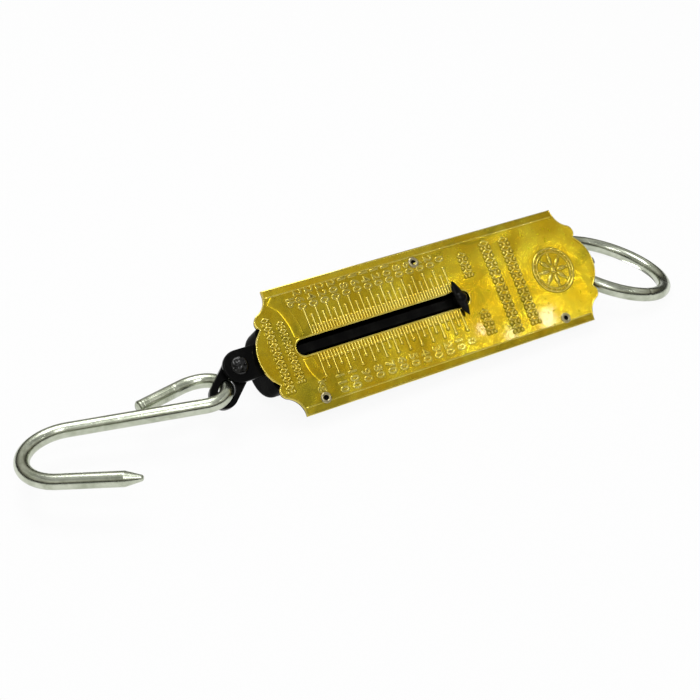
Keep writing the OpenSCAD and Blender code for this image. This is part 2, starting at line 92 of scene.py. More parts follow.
class Wire:
    """An output socket of a node, on which maths is written as plain Python expressions."""

    def __init__(self, sheet: NodeSheet, socket: bpy.types.NodeSocket) -> None:
        """Keeps the sheet and the socket."""
        self.sheet = sheet
        self.socket = socket

    def other(self, name: str | int) -> Wire:
        """Returns another output of the same node."""
        return Wire(self.sheet, self.socket.node.outputs[name])

    def maths(self, operation: str, value: object = 0.0) -> Wire:
        """Returns the result of a Math node on self and a value or link."""
        return self.sheet.node("ShaderNodeMath", {0: self, 1: value}, operation=operation)

    def __add__(self, value: object) -> Wire:
        """Returns self + value."""
        return self.maths("ADD", value)

    def __sub__(self, value: object) -> Wire:
        """Returns self - value."""
        return self.maths("SUBTRACT", value)

    def __mul__(self, value: object) -> Wire:
        """Returns self * value."""
        return self.maths("MULTIPLY", value)

    def __truediv__(self, value: object) -> Wire:
        """Returns self / value."""
        return self.maths("DIVIDE", value)

    def at_least(self, value: object) -> Wire:
        """Returns the larger of self and value."""
        return self.maths("MAXIMUM", value)

    __radd__ = __add__
    __rmul__ = __mul__


class NodeSheet:
    """A node tree that is filled through one method."""

    def __init__(self, tree: bpy.types.NodeTree) -> None:
        """Keeps the tree and empties it."""
        self.tree = tree
        self.tree.nodes.clear()

    def node(
        self,
        kind: str,
        inputs: Mapping[str | int, object] | None = None,
        out: str | int = 0,
        **settings: object,
    ) -> Wire:
        """Adds one node.

        Args:
            kind: The node's type.
            inputs: Values, links or lists of links by socket name or number.
            out: The output that is handed back.
            **settings: The node's properties, set before any socket.

        Returns:
            That output, or the first input where the node has no output.
        """
        item = self.tree.nodes.new(kind)
        for key, value in settings.items():
            setattr(item, key, value)
        for key, value in (inputs or {}).items():
            self._feed(item.inputs[key], value)
        return Wire(self, item.outputs[out] if len(item.outputs) else item.inputs[0])

    def _feed(self, target: bpy.types.NodeSocket, value: object) -> None:
        """Links or sets one input socket."""
        if isinstance(value, Wire):
            value = [value]
        if isinstance(value, list):
            for wire in value:
                self.tree.links.new(wire.socket, target)
        else:
            target.default_value = value

    def mix(self, amount: object, first: object, second: object, blend: str = "MIX") -> Wire:
        """Mixes two colours.

        Args:
            amount: How much of the second colour shows.
            first: A colour or a link.
            second: A colour or a link.
            blend: The blend mode.

        Returns:
            The mixed colour.
        """
        inputs = {0: amount, 6: rgba(first), 7: rgba(second)}
        return self.node("ShaderNodeMix", inputs, out=2, data_type="RGBA", blend_type=blend)

    def place(self) -> Wire:
        """Returns Object coordinates."""
        return self.node("ShaderNodeTexCoord", out="Object")

    def noise(self, where: Wire, grain: Grain) -> Wire:
        """Returns the value of a noise texture, whose scale is in repeats per metre."""
        inputs = {
            "Vector": where,
            "Scale": grain.scale,
            "Detail": grain.detail,
            "Roughness": grain.rough,
            "Distortion": grain.warp,
        }
        return self.node("ShaderNodeTexNoise", inputs, out="Fac")

    def ramp(self, value: Wire, stops: Sequence[tuple[float, Colour]]) -> Wire:
        """Returns a colour from a straight ramp over the value."""
        colour = self.node("ShaderNodeValToRGB", {"Fac": value}, out="Color")
        elements = colour.socket.node.color_ramp.elements
        for index, (spot, shade) in enumerate(stops):
            stop = elements[index] if index < 2 else elements.new(spot)
            stop.position = spot
            stop.color = rgba(shade)
        return colour

    def mask(self, value: Wire, grain: Grain) -> Wire:
        """Returns a grey that rises over the grain's span of values."""
        return self.ramp(value, [(grain.low, grey(0.0)), (grain.high, grey(grain.top))])

    def bump(self, height: Wire, depth: float, under: Wire | None = None) -> Wire:
        """Returns a normal bumped by a height of so many metres, on top of another bump."""
        inputs: dict[str | int, object] = {"Height": height, "Distance": depth, "Strength": 1.0}
        if under is not None:
            inputs["Normal"] = under
        return self.node("ShaderNodeBump", inputs)

    def bumps(self, where: Wire, grains: Sequence[Grain], share: float = 1.0) -> Wire:
        """Returns a normal bumped by one noise on the other, each to a share of its depth."""
        normal = None
        for grain in grains:
            normal = self.bump(self.noise(where, grain), grain.depth * share, normal)
        return normal


def rgba(colour: object) -> object:
    """Returns a colour of three numbers with a fourth for full cover; a link stays as it is."""
    return (*colour, 1.0) if isinstance(colour, tuple) and len(colour) == 3 else colour


def grey(value: float) -> Colour:
    """Returns a grey of one value."""
    return (value, value, value)


def new_material(name: str) -> tuple[bpy.types.Material, NodeSheet]:
    """Returns a new material and its empty node sheet."""
    made = bpy.data.materials.new(name)
    made.use_nodes = True
    return made, NodeSheet(made.node_tree)


def new_object(name: str, data: bpy.types.ID) -> bpy.types.Object:
    """Returns a new object of the scene."""
    thing = bpy.data.objects.new(name, data)
    bpy.context.scene.collection.objects.link(thing)
    return thing


class Slot(Enum):
    """The record's material slots."""

    BRASS = "brass_face"
    ENAMEL = "black_enamel"
    RIVET = "rivet_metal"
    STEEL = "plain_steel"
    ZINC = "zinc_plate"


@dataclass(frozen=True)
class Finish:
    """A finish that is made once as a material."""

    name: str
    slot: Slot

    def inputs(self, sheet: NodeSheet) -> dict[str | int, object]:
        """Returns the values and links of the Principled shader; each finish has its own."""
        raise NotImplementedError

    def material(self) -> bpy.types.Material:
        """Returns the finish's material, made on first use."""
        found = bpy.data.materials.get(self.name)
        if found is not None:
            return found
        made, sheet = new_material(self.name)
        shader = sheet.node("ShaderNodeBsdfPrincipled", self.inputs(sheet))
        sheet.node("ShaderNodeOutputMaterial", {"Surface": shader})
        return made


@dataclass(frozen=True)
class StampedBrass(Finish):
    """Lacquered brass sheet, slightly wavy, with tarnish in soft patches."""

    bright: Colour = (0.80, 0.62, 0.030)
    deep: Colour = (0.74, 0.49, 0.010)
    olive: Colour = (0.52, 0.43, 0.016)
    tarnish: Colour = (0.40, 0.34, 0.014)
    lacquer: float = 0.22
    lacquer_blur: float = 0.05
    blur: float = 0.17
    blur_spread: float = 0.16
    wave: float = 1.0
    patches: Grain = Grain(60, 3, 0.55, 0.6, low=0.38, high=0.66)
    specks: Grain = Grain(420, 3, 0.6, low=0.54, high=0.76, top=0.45)
    stains: Grain = Grain(40, 4, 0.62, 0.8, low=0.55, high=0.68, top=0.7)
    waves: Grain = Grain(58, 1.5, 0.4, 0.4, depth=0.00065)
    dimples: Grain = Grain(230, 2, 0.5, 0.3, depth=0.00008)
    rolled: Grain = Grain(1500, 2, 0.6, depth=0.000014)

    def inputs(self, sheet: NodeSheet) -> dict[str | int, object]:
        """Returns the shader's values: patchy gold under lacquer, with waves and dimples."""
        where = sheet.place()
        patches = sheet.noise(where, self.patches)
        specks = sheet.noise(where, self.specks)
        stains = sheet.noise(where, self.stains)
        colour = sheet.mix(sheet.mask(patches, self.patches), self.deep, self.bright)
        colour = sheet.mix(sheet.mask(specks, self.specks), colour, self.olive)
        colour = sheet.mix(sheet.mask(stains, self.stains), colour, self.tarnish)
        return {
            "Base Color": colour,
            "Metallic": 1.0,
            "Roughness": self.blur + self.blur_spread * specks,
            "Coat Weight": self.lacquer,
            "Coat Roughness": self.lacquer_blur,
            "Normal": sheet.bumps(where, (self.waves, self.dimples, self.rolled), self.wave),
        }


@dataclass(frozen=True)
class GlossEnamel(Finish):
    """Thick black stoving enamel with an orange-peel skin."""

    base: Colour = (0.0035, 0.0035, 0.0035)
    dusty: Colour = (0.010, 0.010, 0.009)
    index: float = 1.16
    blur: float = 0.0
    blur_spread: float = 0.22
    skin: float = 0.00003
    patches: Grain = Grain(110, 4, 0.6, low=0.48, high=0.72)
    peel: Grain = Grain(900, 2, 0.5)

    def inputs(self, sheet: NodeSheet) -> dict[str | int, object]:
        """Returns the shader's values: deep black, dust in patches, a soft skin."""
        where = sheet.place()
        patches = sheet.noise(where, self.patches)
        return {
            "Base Color": sheet.mix(sheet.mask(patches, self.patches), self.base, self.dusty),
            "Roughness": self.blur + self.blur_spread * patches,
            "IOR": self.index,
            "Normal": sheet.bump(sheet.noise(where, self.peel), self.skin),
        }


@dataclass(frozen=True)
class ZincWire(Finish):
    """Bright zinc plate on drawn wire, with a faint greenish grey tint and fine draw lines."""

    light: Colour = (0.62, 0.655, 0.535)
    dull: Colour = (0.43, 0.465, 0.355)
    blur: float = 0.14
    blur_spread: float = 0.16
    stretch: Point = (40, 2600, 1)
    lines: Grain = Grain(1.0, 3, 0.6, depth=0.00001)
    clouds: Grain = Grain(150, 3, 0.6, low=0.40, high=0.68)
    nicks: Grain = Grain(800, 3, 0.65, depth=0.000012)

    def inputs(self, sheet: NodeSheet) -> dict[str | int, object]:
        """Returns the shader's values; the draw lines follow the wire's own UV map."""
        where = sheet.place()
        clouds = sheet.noise(where, self.clouds)
        along = sheet.node("ShaderNodeUVMap", uv_map=WIRE_UV)
        along = sheet.node("ShaderNodeMapping", {"Vector": along, "Scale": self.stretch})
        drawn = sheet.bumps(along, (self.lines,))
        return {
            "Base Color": sheet.mix(sheet.mask(clouds, self.clouds), self.light, self.dull),
            "Metallic": 1.0,
            "Roughness": self.blur + self.blur_spread * clouds,
            "Normal": sheet.bump(sheet.noise(where, self.nicks), self.nicks.depth, drawn),
        }


@dataclass(frozen=True)
class PlatedRivet(Finish):
    """Nickel-plated tubular rivets, warm from the brass round them."""

    base: Colour = (0.66, 0.60, 0.38)
    dark: Colour = (0.34, 0.29, 0.14)
    blur: float = 0.18
    blur_spread: float = 0.22
    marks: Grain = Grain(900, 3, 0.6, depth=0.00006)

    def inputs(self, sheet: NodeSheet) -> dict[str | int, object]:
        """Returns the shader's values: plated metal with set marks."""
        marks = sheet.noise(sheet.place(), self.marks)
        return {
            "Base Color": sheet.mix(marks, self.base, self.dark),
            "Metallic": 1.0,
            "Roughness": self.blur + self.blur_spread * marks,
            "Normal": sheet.bump(marks, self.marks.depth),
        }


@dataclass(frozen=True)
class OiledSteel(Finish):
    """Plain steel of the parts inside, oiled and a little dull."""

    base: Colour = (0.40, 0.40, 0.41)
    stain: Colour = (0.20, 0.17, 0.13)
    blur: float = 0.28
    blur_spread: float = 0.2
    stains: Grain = Grain(160, 4, 0.6, low=0.45, high=0.75)
    fine: Grain = Grain(1300, 2, 0.5, depth=0.00002)

    def inputs(self, sheet: NodeSheet) -> dict[str | int, object]:
        """Returns the shader's values: grey steel with brown stains."""
        where = sheet.place()
        stains = sheet.noise(where, self.stains)
        return {
            "Base Color": sheet.mix(sheet.mask(stains, self.stains), self.base, self.stain),
            "Metallic": 1.0,
            "Roughness": self.blur + self.blur_spread * stains,
            "Normal": sheet.bumps(where, (self.fine,)),
        }


BRASS = StampedBrass("stamped_brass", Slot.BRASS)
# A brighter copy of the brass for the raised relief: painted highlight, as if the relief catches
# the light.
PAINTED_HIGHLIGHT_RELIEF = StampedBrass(
    "brass_relief_painted_highlight",
    Slot.BRASS,
    bright=(0.96, 0.82, 0.20),
    deep=(0.88, 0.68, 0.09),
    olive=(0.66, 0.54, 0.06),
    tarnish=(0.60, 0.50, 0.05),
    wave=0.35,
    blur=0.12,
)
# Dark brass for the thin rims laid round the relief's feet: painted shade in the creases, with some
# tarnish.
CREASE_SHADE_AND_TARNISH = StampedBrass(
    "brass_crease_shade_and_tarnish",
    Slot.BRASS,
    bright=(0.52, 0.40, 0.022),
    deep=(0.40, 0.30, 0.014),
    olive=(0.30, 0.24, 0.012),
    tarnish=(0.26, 0.21, 0.010),
    lacquer=0.1,
    wave=0.5,
    blur=0.24,
)
ENAMEL = GlossEnamel("gloss_enamel", Slot.ENAMEL, blur=0.03)
CASE_ENAMEL = GlossEnamel("case_enamel", Slot.ENAMEL, index=1.03)
HEAD_ENAMEL = GlossEnamel("rivet_head_enamel", Slot.ENAMEL, index=1.45, skin=0.00001)
ZINC = ZincWire("zinc_wire", Slot.ZINC)
RIVET = PlatedRivet("plated_rivet", Slot.RIVET)
STEEL = OiledSteel("oiled_steel", Slot.STEEL)


def arc(centre: Sequence[float], radius: float, turns: np.ndarray) -> np.ndarray:
    """Returns the points of an arc at the given angles."""
    return np.asarray(centre) + radius * np.stack([np.cos(turns), np.sin(turns)], 1)


def heading(line: np.ndarray, closed: bool) -> np.ndarray:
    """Returns the direction in which a line runs at each of its points."""
    ahead = np.roll(line, -1, 0) - np.roll(line, 1, 0)
    if not closed:
        ahead[0] = line[1] - line[0]
        ahead[-1] = line[-1] - line[-2]
    return ahead / np.linalg.norm(ahead, axis=1)[:, None]


def skin_faces(rings: int, size: int, closed: bool) -> list[list[int]]:
    """Lists the faces of a skin over a row of rings.

    Args:
        rings: How many rings there are.
        size: The points of each ring.
        closed: Whether the last ring joins the first; otherwise both ends are capped.

    Returns:
        The faces, by point numbers.
    """
    faces = []
    for i in range(rings if closed else rings - 1):
        j = (i + 1) % rings
        for k in range(size):
            m = (k + 1) % size
            faces.append([i * size + k, i * size + m, j * size + m, j * size + k])
    if not closed:
        faces += [[ring * size + k for k in range(size)] for ring in (0, rings - 1)]
    return faces


class FaceFrame:
    """The face's own frame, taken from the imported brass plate."""

    def __init__(self) -> None:
        """Finds the middle of the plate's front."""
        low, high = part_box("face_plate")
        self.origin = Vector(((low.x + high.x) / 2, low.y, (low.z + high.z) / 2))

    def at(self, x: float, y: float, z: float) -> Vector:
        """Returns a point of the face's frame, in metres in the frame's axes."""
        return self.origin + Vector((x, y, z)) * MM


@dataclass
class Maker:
    face: FaceFrame
    sharp_deg: float = 40.0
    ridge_foot: float = 0.05
    ridge_fade: float = 0.03
    ridge_steps: int = 8

    def mesh(
        self,
        name: str,
        rows: Sequence[Sequence[float]],
        faces: Sequence[Sequence[int]],
        uv: Sequence[Spot] | None = None,
    ) -> bpy.types.Object:
        """Makes one smooth mesh.

        Args:
            name: The piece's name.
            rows: Its points, in the face's frame.
            faces: Its faces, by point numbers.
            uv: A UV place for each corner of each face.

        Returns:
            The piece's object.
        """
        data = bpy.data.meshes.new(name)
        data.from_pydata([self.face.at(*row) for row in np.asarray(rows, float)], [], faces)
        if uv is not None:
            layer = data.uv_layers.new(name=WIRE_UV)
            layer.data.foreach_set("uv", np.asarray(uv, np.float32).ravel())
        data.update()
        shape = bmesh.new()
        shape.from_mesh(data)
        bmesh.ops.recalc_face_normals(shape, faces=shape.faces)
        shape.to_mesh(data)
        shape.free()
        data.polygons.foreach_set("use_smooth", [True] * len(data.polygons))
        return new_object(name, data)

    def freeze(self, piece: bpy.types.Object) -> bpy.types.Object:
        """Turns a piece with modifiers into a plain mesh."""
        graph = bpy.context.evaluated_depsgraph_get()
        data = bpy.data.meshes.new_from_object(piece.evaluated_get(graph), depsgraph=graph)
        piece.modifiers.clear()
        piece.data = data
        return piece

    def round_edges(self, piece: bpy.types.Object, width: float, steps: int) -> bpy.types.Object:
        """Rounds a piece's sharp edges to a width, in so many steps."""
        bevel = piece.modifiers.new("soft_edges", "BEVEL")
        bevel.width = width * MM
        bevel.segments = steps
        bevel.limit_method = "ANGLE"
        bevel.angle_limit = math.radians(self.sharp_deg)
        bevel.harden_normals = True
        return self.freeze(piece)

    def tube(
        self,
        name: str,
        path: np.ndarray,
        flat: np.ndarray,
        radius: Callable[[int, np.ndarray], np.ndarray],
        sides: int,
        measure: np.ndarray,
        closed: bool = False,
    ) -> bpy.types.Object:
        """Makes a tube along a path that lies in one plane.

        Args:
            name: The piece's name.
            path: The path's points.
            flat: The plane's normal.
            radius: Gives the radius round the ring of one point, from its number and the angles.
            sides: Points round the tube.
            measure: The distance along the wire of each point, for the UV map.
            closed: Whether the path is a loop.

        Returns:
            The tube.
        """
        count = len(path)
        out = np.cross(heading(path, closed), flat)
        out /= np.linalg.norm(out, axis=1)[:, None]
        angles = np.linspace(0, FULL_TURN, sides, endpoint=False)
        rings = []
        for index in range(count):
            around = np.cos(angles)[:, None] * out[index] + np.sin(angles)[:, None] * flat
            rings.append(path[index] + radius(index, angles)[:, None] * around)
        along = np.append(measure, measure[-1] + measure[1] - measure[0]) * MM
        uv: list[Spot] = []
        for here, there in zip(along[: count if closed else count - 1], along[1:]):
            for k in range(sides):
                left, right = k / sides, (k + 1) / sides
                uv += [(here, left), (here, right), (there, right), (there, left)]
        if not closed:
            uv += [(along[0], 0.5)] * sides + [(along[count - 1], 0.5)] * sides
        return self.mesh(name, np.concatenate(rings), skin_faces(count, sides, closed), uv)

    def lathe(
        self,
        name: str,
        profile: Sequence[Spot],
        centre: Sequence[float],
        axis: Sequence[float],
        sides: int,
        closed: bool = False,
    ) -> bpy.types.Object:
        """Turns a profile round an axis.

        Args:
            name: The piece's name.
            profile: Points as (radius, height along the axis).
            centre: The axis's foot.
            axis: The axis's direction.
            sides: Points round the piece.
            closed: Whether the profile is a loop.

        Returns:
            The turned piece.
        """
        up = Vector(axis).normalized()
        side = up.orthogonal().normalized()
        back = up.cross(side)
        foot = Vector(centre)
        least = 1e-4
        rows = []
        for radius, height in profile:
            for k in range(sides):
                a = FULL_TURN * k / sides
                out = (side * math.cos(a) + back * math.sin(a)) * max(radius, least)
                rows.append(tuple(foot + up * height + out))
        return self.mesh(name, rows, skin_faces(len(profile), sides, closed))

    def slab(
        self, name: str, outline: Sequence[Spot], front: float, back: float
    ) -> bpy.types.Object:
        """Makes a flat plate from an outline of (x, z) points, between two depths."""
        rows = [(x, y, z) for y in (front, back) for x, z in outline]
        return self.mesh(name, rows, skin_faces(2, len(outline), closed=False))

    def ridge(
        self, name: str, line: np.ndarray, width: float, height: float, closed: bool = False
    ) -> bpy.types.Object:
        """Makes a rounded ridge that stands on the plate along a line of (x, z) points.

        Args:
            name: The piece's name.
            line: The line.
            width: The ridge's width.
            height: The ridge's height.
            closed: Whether the line is a loop; an open one fades out at both ends.

        Returns:
            The ridge.
        """
        count = len(line)
        ahead = heading(line, closed)
        side = np.stack([-ahead[:, 1], ahead[:, 0]], 1)
        turns = np.linspace(0, math.pi, self.ridge_steps)
        section = [(-width / 2, self.ridge_foot)]
        section += [(-width / 2 * math.cos(t), -height * math.sin(t)) for t in turns]
        section += [(width / 2, self.ridge_foot)]
        rows = []
        for i in range(count):
            near_end = min(i, count - 1 - i) / max(1, count * self.ridge_fade)
            fade = 1.0 if closed else min(1.0, near_end**0.5)
            for across, rise in section:
                x, z = line[i] + side[i] * across
                rows.append((x, rise * fade if rise < 0 else rise, z))
        return self.mesh(name, rows, skin_faces(count, len(section), closed))

    def join(self, name: str, pieces: Sequence[bpy.types.Object]) -> bpy.types.Object:
        """Joins pieces into the first one and names it."""
        shape = bmesh.new()
        for piece in pieces:
            shape.from_mesh(piece.data)
        shape.to_mesh(pieces[0].data)
        shape.free()
        for piece in pieces[1:]:
            data = piece.data
            bpy.data.objects.remove(piece)
            bpy.data.meshes.remove(data)
        pieces[0].name = name
        return pieces[0]

    def dress(
        self, piece: bpy.types.Object, finish: Finish, body: str, nodes: Sequence[str] = ()
    ) -> None:
        """Gives a piece its finish and its place in the frame.

        Args:
            piece: The piece.
            finish: Its finish.
            body: The body that it rides on.
            nodes: CAD nodes that it stands for.
        """
        piece.data.materials.clear()
        piece.data.materials.append(finish.material())
        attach(piece, body)
        if nodes:
            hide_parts(*nodes)
        LOG.info("%s rides on %s, %d faces", piece.name, body, len(piece.data.polygons))


class Pattern:
    """A Geometry Nodes tree with named inputs, used once or more and turned into plain meshes."""

    def __init__(self, name: str, inputs: Mapping[str, tuple[str, object]]) -> None:
        """Makes the tree and its inputs.

        Args:
            name: The tree's name.
            inputs: Socket type and first value by input name; the finish is added to them.
        """
        self.name = name
        self.sheet = NodeSheet(bpy.data.node_groups.new(name, "GeometryNodeTree"))
        sockets = self.sheet.tree.interface
        self.keys: dict[str, str] = {}
        for label, (kind, value) in {"Finish": ("Material", None), **inputs}.items():
            socket = sockets.new_socket(label, in_out="INPUT", socket_type=f"NodeSocket{kind}")
            if value is not None:
                socket.default_value = value
            self.keys[label] = socket.identifier
        sockets.new_socket("Geometry", in_out="OUTPUT", socket_type="NodeSocketGeometry")
        self.given = self.sheet.node("NodeGroupInput")

    def input(self, label: str) -> Wire:
        """Returns one of the tree's inputs."""
        return self.given.other(label)

    def vector(self, x: object, y: object, z: object) -> Wire:
        """Returns a vector of three values or links."""
        return self.sheet.node("ShaderNodeCombineXYZ", {0: x, 1: y, 2: z})

    def shape(self, kind: str, **inputs: object) -> Wire:
        """Adds a geometry node; its inputs are named with an underscore for each space."""
        values = {label.replace("_", " "): value for label, value in inputs.items()}
        return self.sheet.node(f"GeometryNode{kind}", values)

    def row(self, start: object, step: object) -> Wire:
        """Returns as many points as Count says, in an even row."""
        inputs = {"Count": self.input("Count"), "Start Location": start, "Offset": step}
        return self.sheet.node("GeometryNodeMeshLine", inputs, mode="OFFSET")

    def close(self, geometry: Wire) -> None:
        """Ends the tree: no instances left, smooth faces, and the finish."""
        whole = self.shape("RealizeInstances", Geometry=geometry)
        smooth = self.shape("SetShadeSmooth", Geometry=whole)
        dressed = self.shape("SetMaterial", Geometry=smooth, Material=self.input("Finish"))
        self.sheet.node("NodeGroupOutput", {"Geometry": dressed})

    def run(self, maker: Maker, name: str, finish: Finish, **values: object) -> bpy.types.Object:
        """Runs the tree.

        Args:
            maker: The maker that freezes the result.
            name: The piece's name.
            finish: Its finish.
            **values: The other inputs' values, by their names.

        Returns:
            A plain mesh piece.
        """
        piece = new_object(name, bpy.data.meshes.new(name))
        modifier = piece.modifiers.new(self.name, "NODES")
        modifier.node_group = self.sheet.tree
        for label, value in {"Finish": finish.material(), **values}.items():
            modifier[self.keys[label]] = value
        return maker.freeze(piece)


class MarkPattern(Pattern):
    """Stamped strokes of a scale: rounded ridges with a bead at the outer end, in an even row."""

    def __init__(self) -> None:
        """Builds the tree."""
        super().__init__(
            "scale_strokes",
            {
                "Count": ("Int", 10),
                "Start": ("Vector", (0, 0, 0)),
                "Pitch": ("Float", 0.005),
                "Reach": ("Float", 0.008),
                "Width": ("Float", 0.001),
                "Height": ("Float", 0.0003),
                "Bead": ("Float", 0.0007),
            },
        )
        half_width = self.input("Width") / 2
        end = self.vector(self.input("Reach"), 0, 0)
        flat = self.vector(1, self.input("Height") / half_width, 1)
        line = self.shape("CurvePrimitiveLine", Start=(0, 0, 0), End=end)
        ring = self.shape("CurvePrimitiveCircle", Resolution=12, Radius=half_width)
        bar = self.shape("CurveToMesh", Curve=line, Profile_Curve=ring, Fill_Caps=True)
        bar = self.shape("Transform", Geometry=bar, Scale=flat)
        ball = self.shape("MeshUVSphere", Segments=12, Rings=8, Radius=self.input("Bead"))
        ball = self.shape("Transform", Geometry=ball, Scale=flat, Translation=end)
        stroke = self.shape("JoinGeometry", Geometry=[bar, ball])
        row = self.row(self.input("Start"), self.vector(0, 0, self.input("Pitch") * -1))
        self.close(self.shape("InstanceOnPoints", Points=row, Instance=stroke))


class OrnamentPattern(Pattern):
    """A plain stamped border: lozenges between rows of three beads, in a straight row."""

    lozenge_shape = (0.52, 1, 1)
    bead_share = 0.8
    bead_places = (-0.4, 0.0, 0.4)

    def __init__(self) -> None:
        """Builds the tree."""
        super().__init__(
            "bead_border",
            {
                "Count": ("Int", 8),
                "Start": ("Vector", (0, 0, 0)),
                "Step": ("Vector", (0.004, 0, 0)),
                "Tall": ("Float", 0.004),
                "Bar": ("Float", 0.0007),
                "Rise": ("Float", 1.0),
            },
        )
        start, step = self.input("Start"), self.input("Step")
        tall, bar = self.input("Tall"), self.input("Bar")
        flat = self.vector(1, self.input("Rise"), 1)
        ring = self.shape("CurvePrimitiveCircle", Resolution=4, Radius=tall / 2)
        stood = (math.pi / 2, 0, 0)
        ring = self.shape("Transform", Geometry=ring, Rotation=stood, Scale=self.lozenge_shape)
        wire = self.shape("CurvePrimitiveCircle", Resolution=8, Radius=bar / 2)
        lozenge = self.shape("CurveToMesh", Curve=ring, Profile_Curve=wire)
        lozenge = self.shape("Transform", Geometry=lozenge, Scale=flat)
        ball = self.shape("MeshUVSphere", Segments=10, Rings=7, Radius=bar * self.bead_share)
        balls = []
        for share in self.bead_places:
            spot = self.vector(0, 0, tall * share)
            balls.append(self.shape("Transform", Geometry=ball, Scale=flat, Translation=spot))
        beads = self.shape("JoinGeometry", Geometry=balls)
        half = self.sheet.node("ShaderNodeVectorMath", {0: step, "Scale": 0.5}, operation="SCALE")
        shifted = self.sheet.node("ShaderNodeVectorMath", {0: start, 1: half}, operation="ADD")
        rows = [
            self.shape("InstanceOnPoints", Points=self.row(spot, step), Instance=shape)
            for spot, shape in ((start, lozenge), (shifted, beads))
        ]
        self.close(self.shape("JoinGeometry", Geometry=rows))


class RosettePattern(Pattern):
    """Petals or beads set evenly round a circle."""

    def __init__(self) -> None:
        """Builds the tree."""
        super().__init__(
            "petal_circle",
            {
                "Count": ("Int", 8),
                "Centre": ("Vector", (0, 0, 0)),
                "Radius": ("Float", 0.005),
                "Shape": ("Vector", (0.003, 0.0003, 0.001)),
            },
        )
        ball = self.shape("MeshUVSphere", Segments=16, Rings=10, Radius=1.0)
        petal = self.shape("Transform", Geometry=ball, Scale=self.input("Shape"))
        angle = self.sheet.node("GeometryNodeInputIndex") * FULL_TURN / self.input("Count")
        radius = self.input("Radius")
        place = self.vector(radius * angle.maths("COSINE"), 0, radius * angle.maths("SINE"))
        points = self.row((0, 0, 0), (0, 0, 0))
        points = self.shape("SetPosition", Geometry=points, Offset=place)
        turn = self.vector(0, angle * -1, 0)
        petals = self.shape("InstanceOnPoints", Points=points, Instance=petal, Rotation=turn)
        self.close(self.shape("Transform", Geometry=petals, Translation=self.input("Centre")))


class SpringPattern(Pattern):
    """A close-wound tension spring."""

    def __init__(self) -> None:
        """Builds the tree."""
        super().__init__(
            "wound_spring",
            {
                "Foot": ("Vector", (0, 0, 0)),
                "Turns": ("Float", 10.0),
                "Radius": ("Float", 0.01),
                "Length": ("Float", 0.05),
                "Wire": ("Float", 0.004),
            },
        )
        helix = self.shape(
            "CurveSpiral",
            Resolution=40,
            Rotations=self.input("Turns"),
            Start_Radius=self.input("Radius"),
            End_Radius=self.input("Radius"),
            Height=self.input("Length"),
        )
        ring = self.shape("CurvePrimitiveCircle", Resolution=20, Radius=self.input("Wire") / 2)
        coil = self.shape("CurveToMesh", Curve=helix, Profile_Curve=ring, Fill_Caps=True)
        self.close(self.shape("Transform", Geometry=coil, Translation=self.input("Foot")))


class RivetPattern(Pattern):
    """One rivet shape set at each of three spots, and turned a little from one to the next."""

    spots = ("First", "Second", "Third")

    def __init__(self) -> None:
        """Builds the tree."""
        places = {label: ("Vector", (0, 0, 0)) for label in self.spots}
        more = {"Rivet": ("Object", None), "Turn": ("Float", 1.0)}
        super().__init__("plate_rivets", {**places, **more})
        seed = {"Object": self.input("Rivet")}
        model = self.sheet.node("GeometryNodeObjectInfo", seed, out="Geometry")
        placed = []
        for step, label in enumerate(self.spots):
            turn = self.vector(0, self.input("Turn") * step, 0)
            spot = self.input(label)
            placed.append(self.shape("Transform", Geometry=model, Translation=spot, Rotation=turn))
        self.close(self.shape("JoinGeometry", Geometry=placed))


@dataclass(frozen=True)
class StampLayer:
    """One layer of the relief: the relief in painted-highlight brass, or the dark foot rim of
    painted shade and tarnish.
    """

    suffix: str
    finish: Finish
    grow: float
    rise: float


@dataclass(frozen=True)
class ScaleSide:
    """One side of the scale: its strokes, figures and unit."""

    unit: str
    side: int
    pitch: float
    last: int
    per_major: int
    reach: Point
    figures_x: float
    unit_spot: Spot
    figures_to: int


@dataclass(frozen=True)
class Border:
    """One row of a stamped border: its start, repeats, step, height and bar width."""

    x: float
    z: float
    count: int
    step: float
    tall: float
    bar: float


# First layer: the relief in brass painted brighter as a highlight. Second layer: a dark rim at each
# foot, painted shade with some tarnish.
LAYERS = (StampLayer("", PAINTED_HIGHLIGHT_RELIEF, 0.0, 1.0), StampLayer("_foot", CREASE_SHADE_AND_TARNISH, 0.34, 0.1))
SIDES = (
    ScaleSide("kg", 1, 6.37, 12, 10, (15.2, 11.7, 7.8), 20.9, (19.3, -68.5), 11),
    ScaleSide("lb", -1, 5.779, 13, 20, (16.5, 13.0, 8.0), -21.4, (-21.0, -69.0), 13),
)
BORDERS = (
    Border(-16.6, -84.0, 9, 4.0, 4.0, 0.8),
    Border(-13.4, -77.6, 8, 3.7, 3.6, 0.75),
    Border(-22.5, 37.0, 11, 4.35, 5.4, 1.0),
    Border(-21.5, 48.0, 11, 4.15, 5.4, 1.0),
    Border(-20.0, 22.8, 3, 4.2, 4.6, 0.9),
    Border(9.5, 22.8, 3, 4.2, 4.6, 0.9),
)
MEDALLION_RINGS = ((11.2, 0.95), (9.5, 0.7))
MEDALLION_PETALS = (
    (8, 4.9, (2.6, 0.62, 1.0)),
    (8, 8.2, (0.62, 0.6, 0.62)),
    (24, 10.35, (0.46, 0.5, 0.46)),
    (1, 0.0, (1.6, 0.8, 1.6)),
)
SWELL_MARKS = ((-79, 25), (-74, 20), (-71.5, 12), (-71, 6), (-71, 0), (-70.5, -10), (-67, -16.5))


